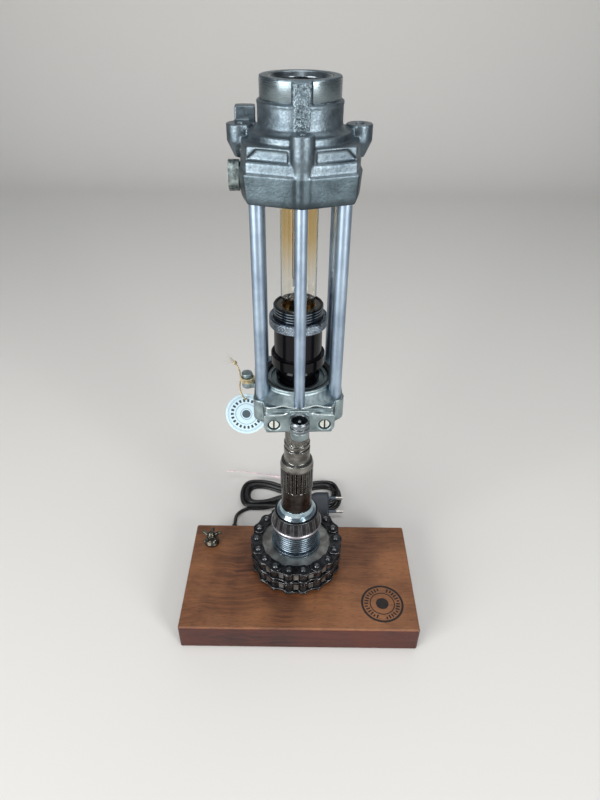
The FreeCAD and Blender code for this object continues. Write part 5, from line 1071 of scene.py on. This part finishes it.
# Twist tie: flat paper ribbon over a wire, pinkish white, pinched round the hank's waist
tieLook = {"width": 3.2, "thickness": 0.7, "waistX": -13.0, "near": 142.2, "far": 171.5, "low": 0.45,
    "high": 10.9, "tail": [(-13, 173.0, 6.3), (-14, 181.2, 5.3), (-26, 189.2, 6.0), (-45, 193.7, 7.5), (-67,
    196.2, 9.0), (-88, 197.2, 11.0), (-108, 196.7, 13.0)]}
paperTie = plainFinish("paperTwistTie", {"colour": "#f1dfe2", "dark": "#cfaeb6", "cloudMm": 6,
    "grainMm": 0.6, "roughness": 0.6, "depthMm": 0.06})


def ribbon(shape, points, ups, wide, thick):
    # A flat strip through points; ups gives the way its face looks at each.
    rings = []
    for index, (point, up) in enumerate(zip(points, ups)):
        before, after = points[max(index - 1, 0)], points[min(index + 1, len(points) - 1)]
        way = (after - before).normalized()
        across = way.cross(up).normalized()
        top = across.cross(way).normalized()
        rings.append([shape.verts.new(point + across * a * wide / 2 + top * b * thick / 2) for a, b in ((-1,
            -0.5), (-0.85, 0.7), (-0.2, 1), (0.2, 1), (0.85, 0.7), (1, -0.5), (0.2, -1), (-0.2, -1))])
    skin(shape, rings)


def twistTie(shape):
    near, far, low, high = (tieLook[name] for name in ("near", "far", "low", "high"))
    middle = Vector((tieLook["waistX"], (near + far) / 2, (low + high) / 2)) * mm
    loop, ups = [], []
    for step in range(48):
        angle = 2 * math.pi * step / 48
        c, s = math.cos(angle), math.sin(angle)
        y = (far - near) / 2 * math.copysign(abs(c) ** 0.55, c)
        z = (high - low) / 2 * math.copysign(abs(s) ** 0.55, s)
        loop.append(middle + Vector((0, y, z)) * mm)
        ups.append(Vector((0, c, s)))
    ribbon(shape, loop[1:] + loop[:1], ups[1:] + ups[:1], tieLook["width"] * mm, tieLook["thickness"] * mm)
    tail = smoothRun(tieLook["tail"])
    turns = [Matrix.Rotation(math.radians(70 * math.sin(i / 9)), 3, "X") @ Vector((0, 0, 1)) for i in range(len(tail))]
    ribbon(shape, tail, turns, tieLook["width"] * 0.8 * mm, tieLook["thickness"] * mm)


tie = meshPiece("paperTie", "lamp", twistTie, paperTie)
shadeByAngle(tie, 50)
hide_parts("twist_tie")
print("plug and tie done")

# Card tag: coated white card with a faint blue cast, printed in grey with plain rings and ticks
tag = {"centre": (-55.0, 27.5, 246.6), "lean": 70.0, "radius": 20.5, "thickness": 0.8, "hole": 1.1, "holeOut": 15.5,
       "sag": 0.35}
tagSpot = Matrix.Translation(Vector(tag["centre"]) * mm) @ Matrix.Rotation(math.radians(tag["lean"]), 4, "X")


def cardFinish(name, look):
    material, tree, shader, place = startFinish(name, look["card"], 0.5)
    fibre = speckle(tree, place, look["fibreMm"], 4.0)
    tone = blendColours(tree, fibre.outputs["Fac"], look["card"], look["cardShade"])
    parts = addNode(tree, "ShaderNodeSeparateXYZ", {}, {0: place})
    reach = vectorMath(tree, "LENGTH", stretched(tree, place, (1, 1, 0))).outputs["Value"]
    bearing = plainMath(tree, "ARCTAN2", parts.outputs["Y"], parts.outputs["X"])
    beat = plainMath(tree, "MULTIPLY", bearing, look["ticks"] / (2 * math.pi))
    phase = plainMath(tree, "PINGPONG", beat, 0.5)
    for middle, width, ink in look["rings"]:
        tone = blendColours(tree, plainMath(tree, "COMPARE", reach, middle * mm, width / 2 * mm), tone, ink)
    band = plainMath(tree, "COMPARE", reach, look["tickMiddle"] * mm, look["tickLength"] / 2 * mm)
    ticks = plainMath(tree, "MULTIPLY", band, plainMath(tree, "LESS_THAN", phase, look["tickShare"]))
    tree.links.new(blendColours(tree, ticks, tone, look["ink"]), shader.inputs["Base Color"])
    bump = addNode(tree, "ShaderNodeBump", {"Strength": 0.4, "Distance": 0.03 * mm}, {"Height": fibre.outputs["Fac"]})
    tree.links.new(bump.outputs[0], shader.inputs["Normal"])
    return material


def tagDisc(shape):
    # A disc with its string hole, sagged a little as damp card does.
    steps, hole = 96, Vector((0, tag["holeOut"], 0))
    top, low = [], []
    for share in (None, 0.12, 0.3, 0.55, 0.8, 0.95, 1.0):
        ring = []
        for step in range(steps):
            angle = 2 * math.pi * step / steps
            rim = Vector((tag["radius"] * math.cos(angle), tag["radius"] * math.sin(angle), 0))
            edge = hole + Vector((tag["hole"] * math.cos(angle), tag["hole"] * math.sin(angle), 0))
            ring.append(edge if share is None else edge.lerp(rim, share))
        for layer, height in ((top, tag["thickness"]), (low, 0.0)):
            layer.append([shape.verts.new(Vector((p.x, p.y,
                height + tag["sag"] * (p.x / tag["radius"]) ** 2)) * mm) for p in ring])
    for rings in (top, low, [top[0], low[0]], [top[-1], low[-1]]):
        skin(shape, rings, capped=False)


coatedCard = cardFinish("coatedCard", {"card": "#bdd3dd", "cardShade": "#a8c0cb", "ink": "#27323a",
    "fibreMm": 1.2, "rings": ((18.2, 0.5, "#8097a3"), (17.2, 0.4, "#8097a3"), (10.6, 0.6, "#71868f"), (0.0,
    8.4, "#39464e"), (5.6, 0.6, "#71868f")), "ticks": 22, "tickShare": 0.27, "tickMiddle": 14.0,
    "tickLength": 3.0})
paperTag = meshPiece("cardTag", None, tagDisc, coatedCard)
paperTag.matrix_world = tagSpot
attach(paperTag, "lamp")
shadeByAngle(paperTag, 40)
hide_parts("hang_tag")

# Jute string: three loose brown-gold plies, wound round the lug, through the tag and knotted
string = {"radius": 0.8, "lug": (-48.5, 24.0), "lugHeight": 236.0, "lugRadius": 5.4, "webHeight": 5.0,
    "turns": 3, "steps": 8, "length": 0.173}
jute = plainFinish("juteTwine", {"colour": "#cdbf9a", "dark": "#85775a", "cloudMm": 1.4, "grainMm": 0.35,
    "roughness": 0.85, "depthMm": 0.3})
lugBase = onHead(string["lug"][0], string["lug"][1], string["lugHeight"]) / mm
windRadius = (string["lugRadius"] + string["radius"] + 0.2) / math.cos(math.pi / string["steps"])
windStep = 2 * string["radius"] + 0.15
windLow = string["webHeight"] + string["radius"] + 0.3
windHigh = windLow + string["turns"] * windStep
holePlace = tagSpot @ (Vector((0, tag["holeOut"], 0)) * mm) / mm
tagNormal = tagSpot.to_3x3() @ Vector((0, 0, 1))
windSide = -windRadius - 0.3
stringPoints = [lugBase + Vector((windSide - 5.6, 13.5, windHigh + 7)), lugBase + Vector((windSide - 0.5,
    7.2, windHigh + 2.6))]
for index in range(string["turns"] * string["steps"] + 1):
    share = index / string["steps"]
    angle = math.pi + 2 * math.pi * share
    stringPoints.append(lugBase + Vector((windRadius * math.cos(angle), windRadius * math.sin(angle),
        windHigh - windStep * share)))
stringPoints += [lugBase + Vector((windSide, -11, windLow - 2.1)), holePlace + tagNormal * 9,
    holePlace - tagNormal * 5]
twine = splineCord("juteTwine", [tuple(p) for p in stringPoints], string["radius"], jute, "lamp")
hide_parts("tag_string")


def frayedEnds(shape):
    # Knots at both ends of the twine, and the loose fibres that spring from the upper one.
    rng = random.Random(7)
    for point in (stringPoints[0], stringPoints[-1]):
        spot = point * mm
        for turn in range(3):
            tilt = Matrix.Rotation(turn * 1.1, 3, "X") @ Matrix.Rotation(turn * 0.8, 3, "Y")
            ring = [spot + tilt @ Vector((1.5 * math.cos(a * math.pi / 8), 1.5 * math.sin(a * math.pi / 8), 0)) * mm
                    for a in range(17)]
            tubeAlong(shape, ring, 0.75 * mm, 8)
    root = stringPoints[0]
    for fibre in range(9):
        lean = Vector((-0.75 + rng.uniform(-0.5, 0.5), 0.2 + rng.uniform(-0.5, 0.5), 0.55 + rng.uniform(-0.4, 0.5)))
        reach = rng.uniform(7, 15)
        points = [root + lean * reach * s + Vector((0, 0, -2.0 * s * s * rng.uniform(0.4,
            1.2))) for s in (0, 0.25, 0.5, 0.75, 1.0)]
        tubeAlong(shape, smoothRun([tuple(p) for p in points], 4), 0.16 * mm, 5, lambda share: 1 - 0.6 * share)
    for fibre in range(26):
        angle = rng.uniform(0, 2 * math.pi)
        height = rng.uniform(windLow, windHigh)
        root = lugBase + Vector((windRadius * math.cos(angle), windRadius * math.sin(angle), height))
        out = Vector((math.cos(angle + rng.uniform(-0.8, 0.8)), math.sin(angle + rng.uniform(-0.8, 0.8)),
            rng.uniform(-0.4, 0.7)))
        tubeAlong(shape, [(root + out * s) * mm for s in (0, 1.2, 2.2, rng.uniform(2.8, 4.6))], 0.1 * mm, 4)


fray = meshPiece("juteFray", "lamp", frayedEnds, jute)
print("tag and twine done")
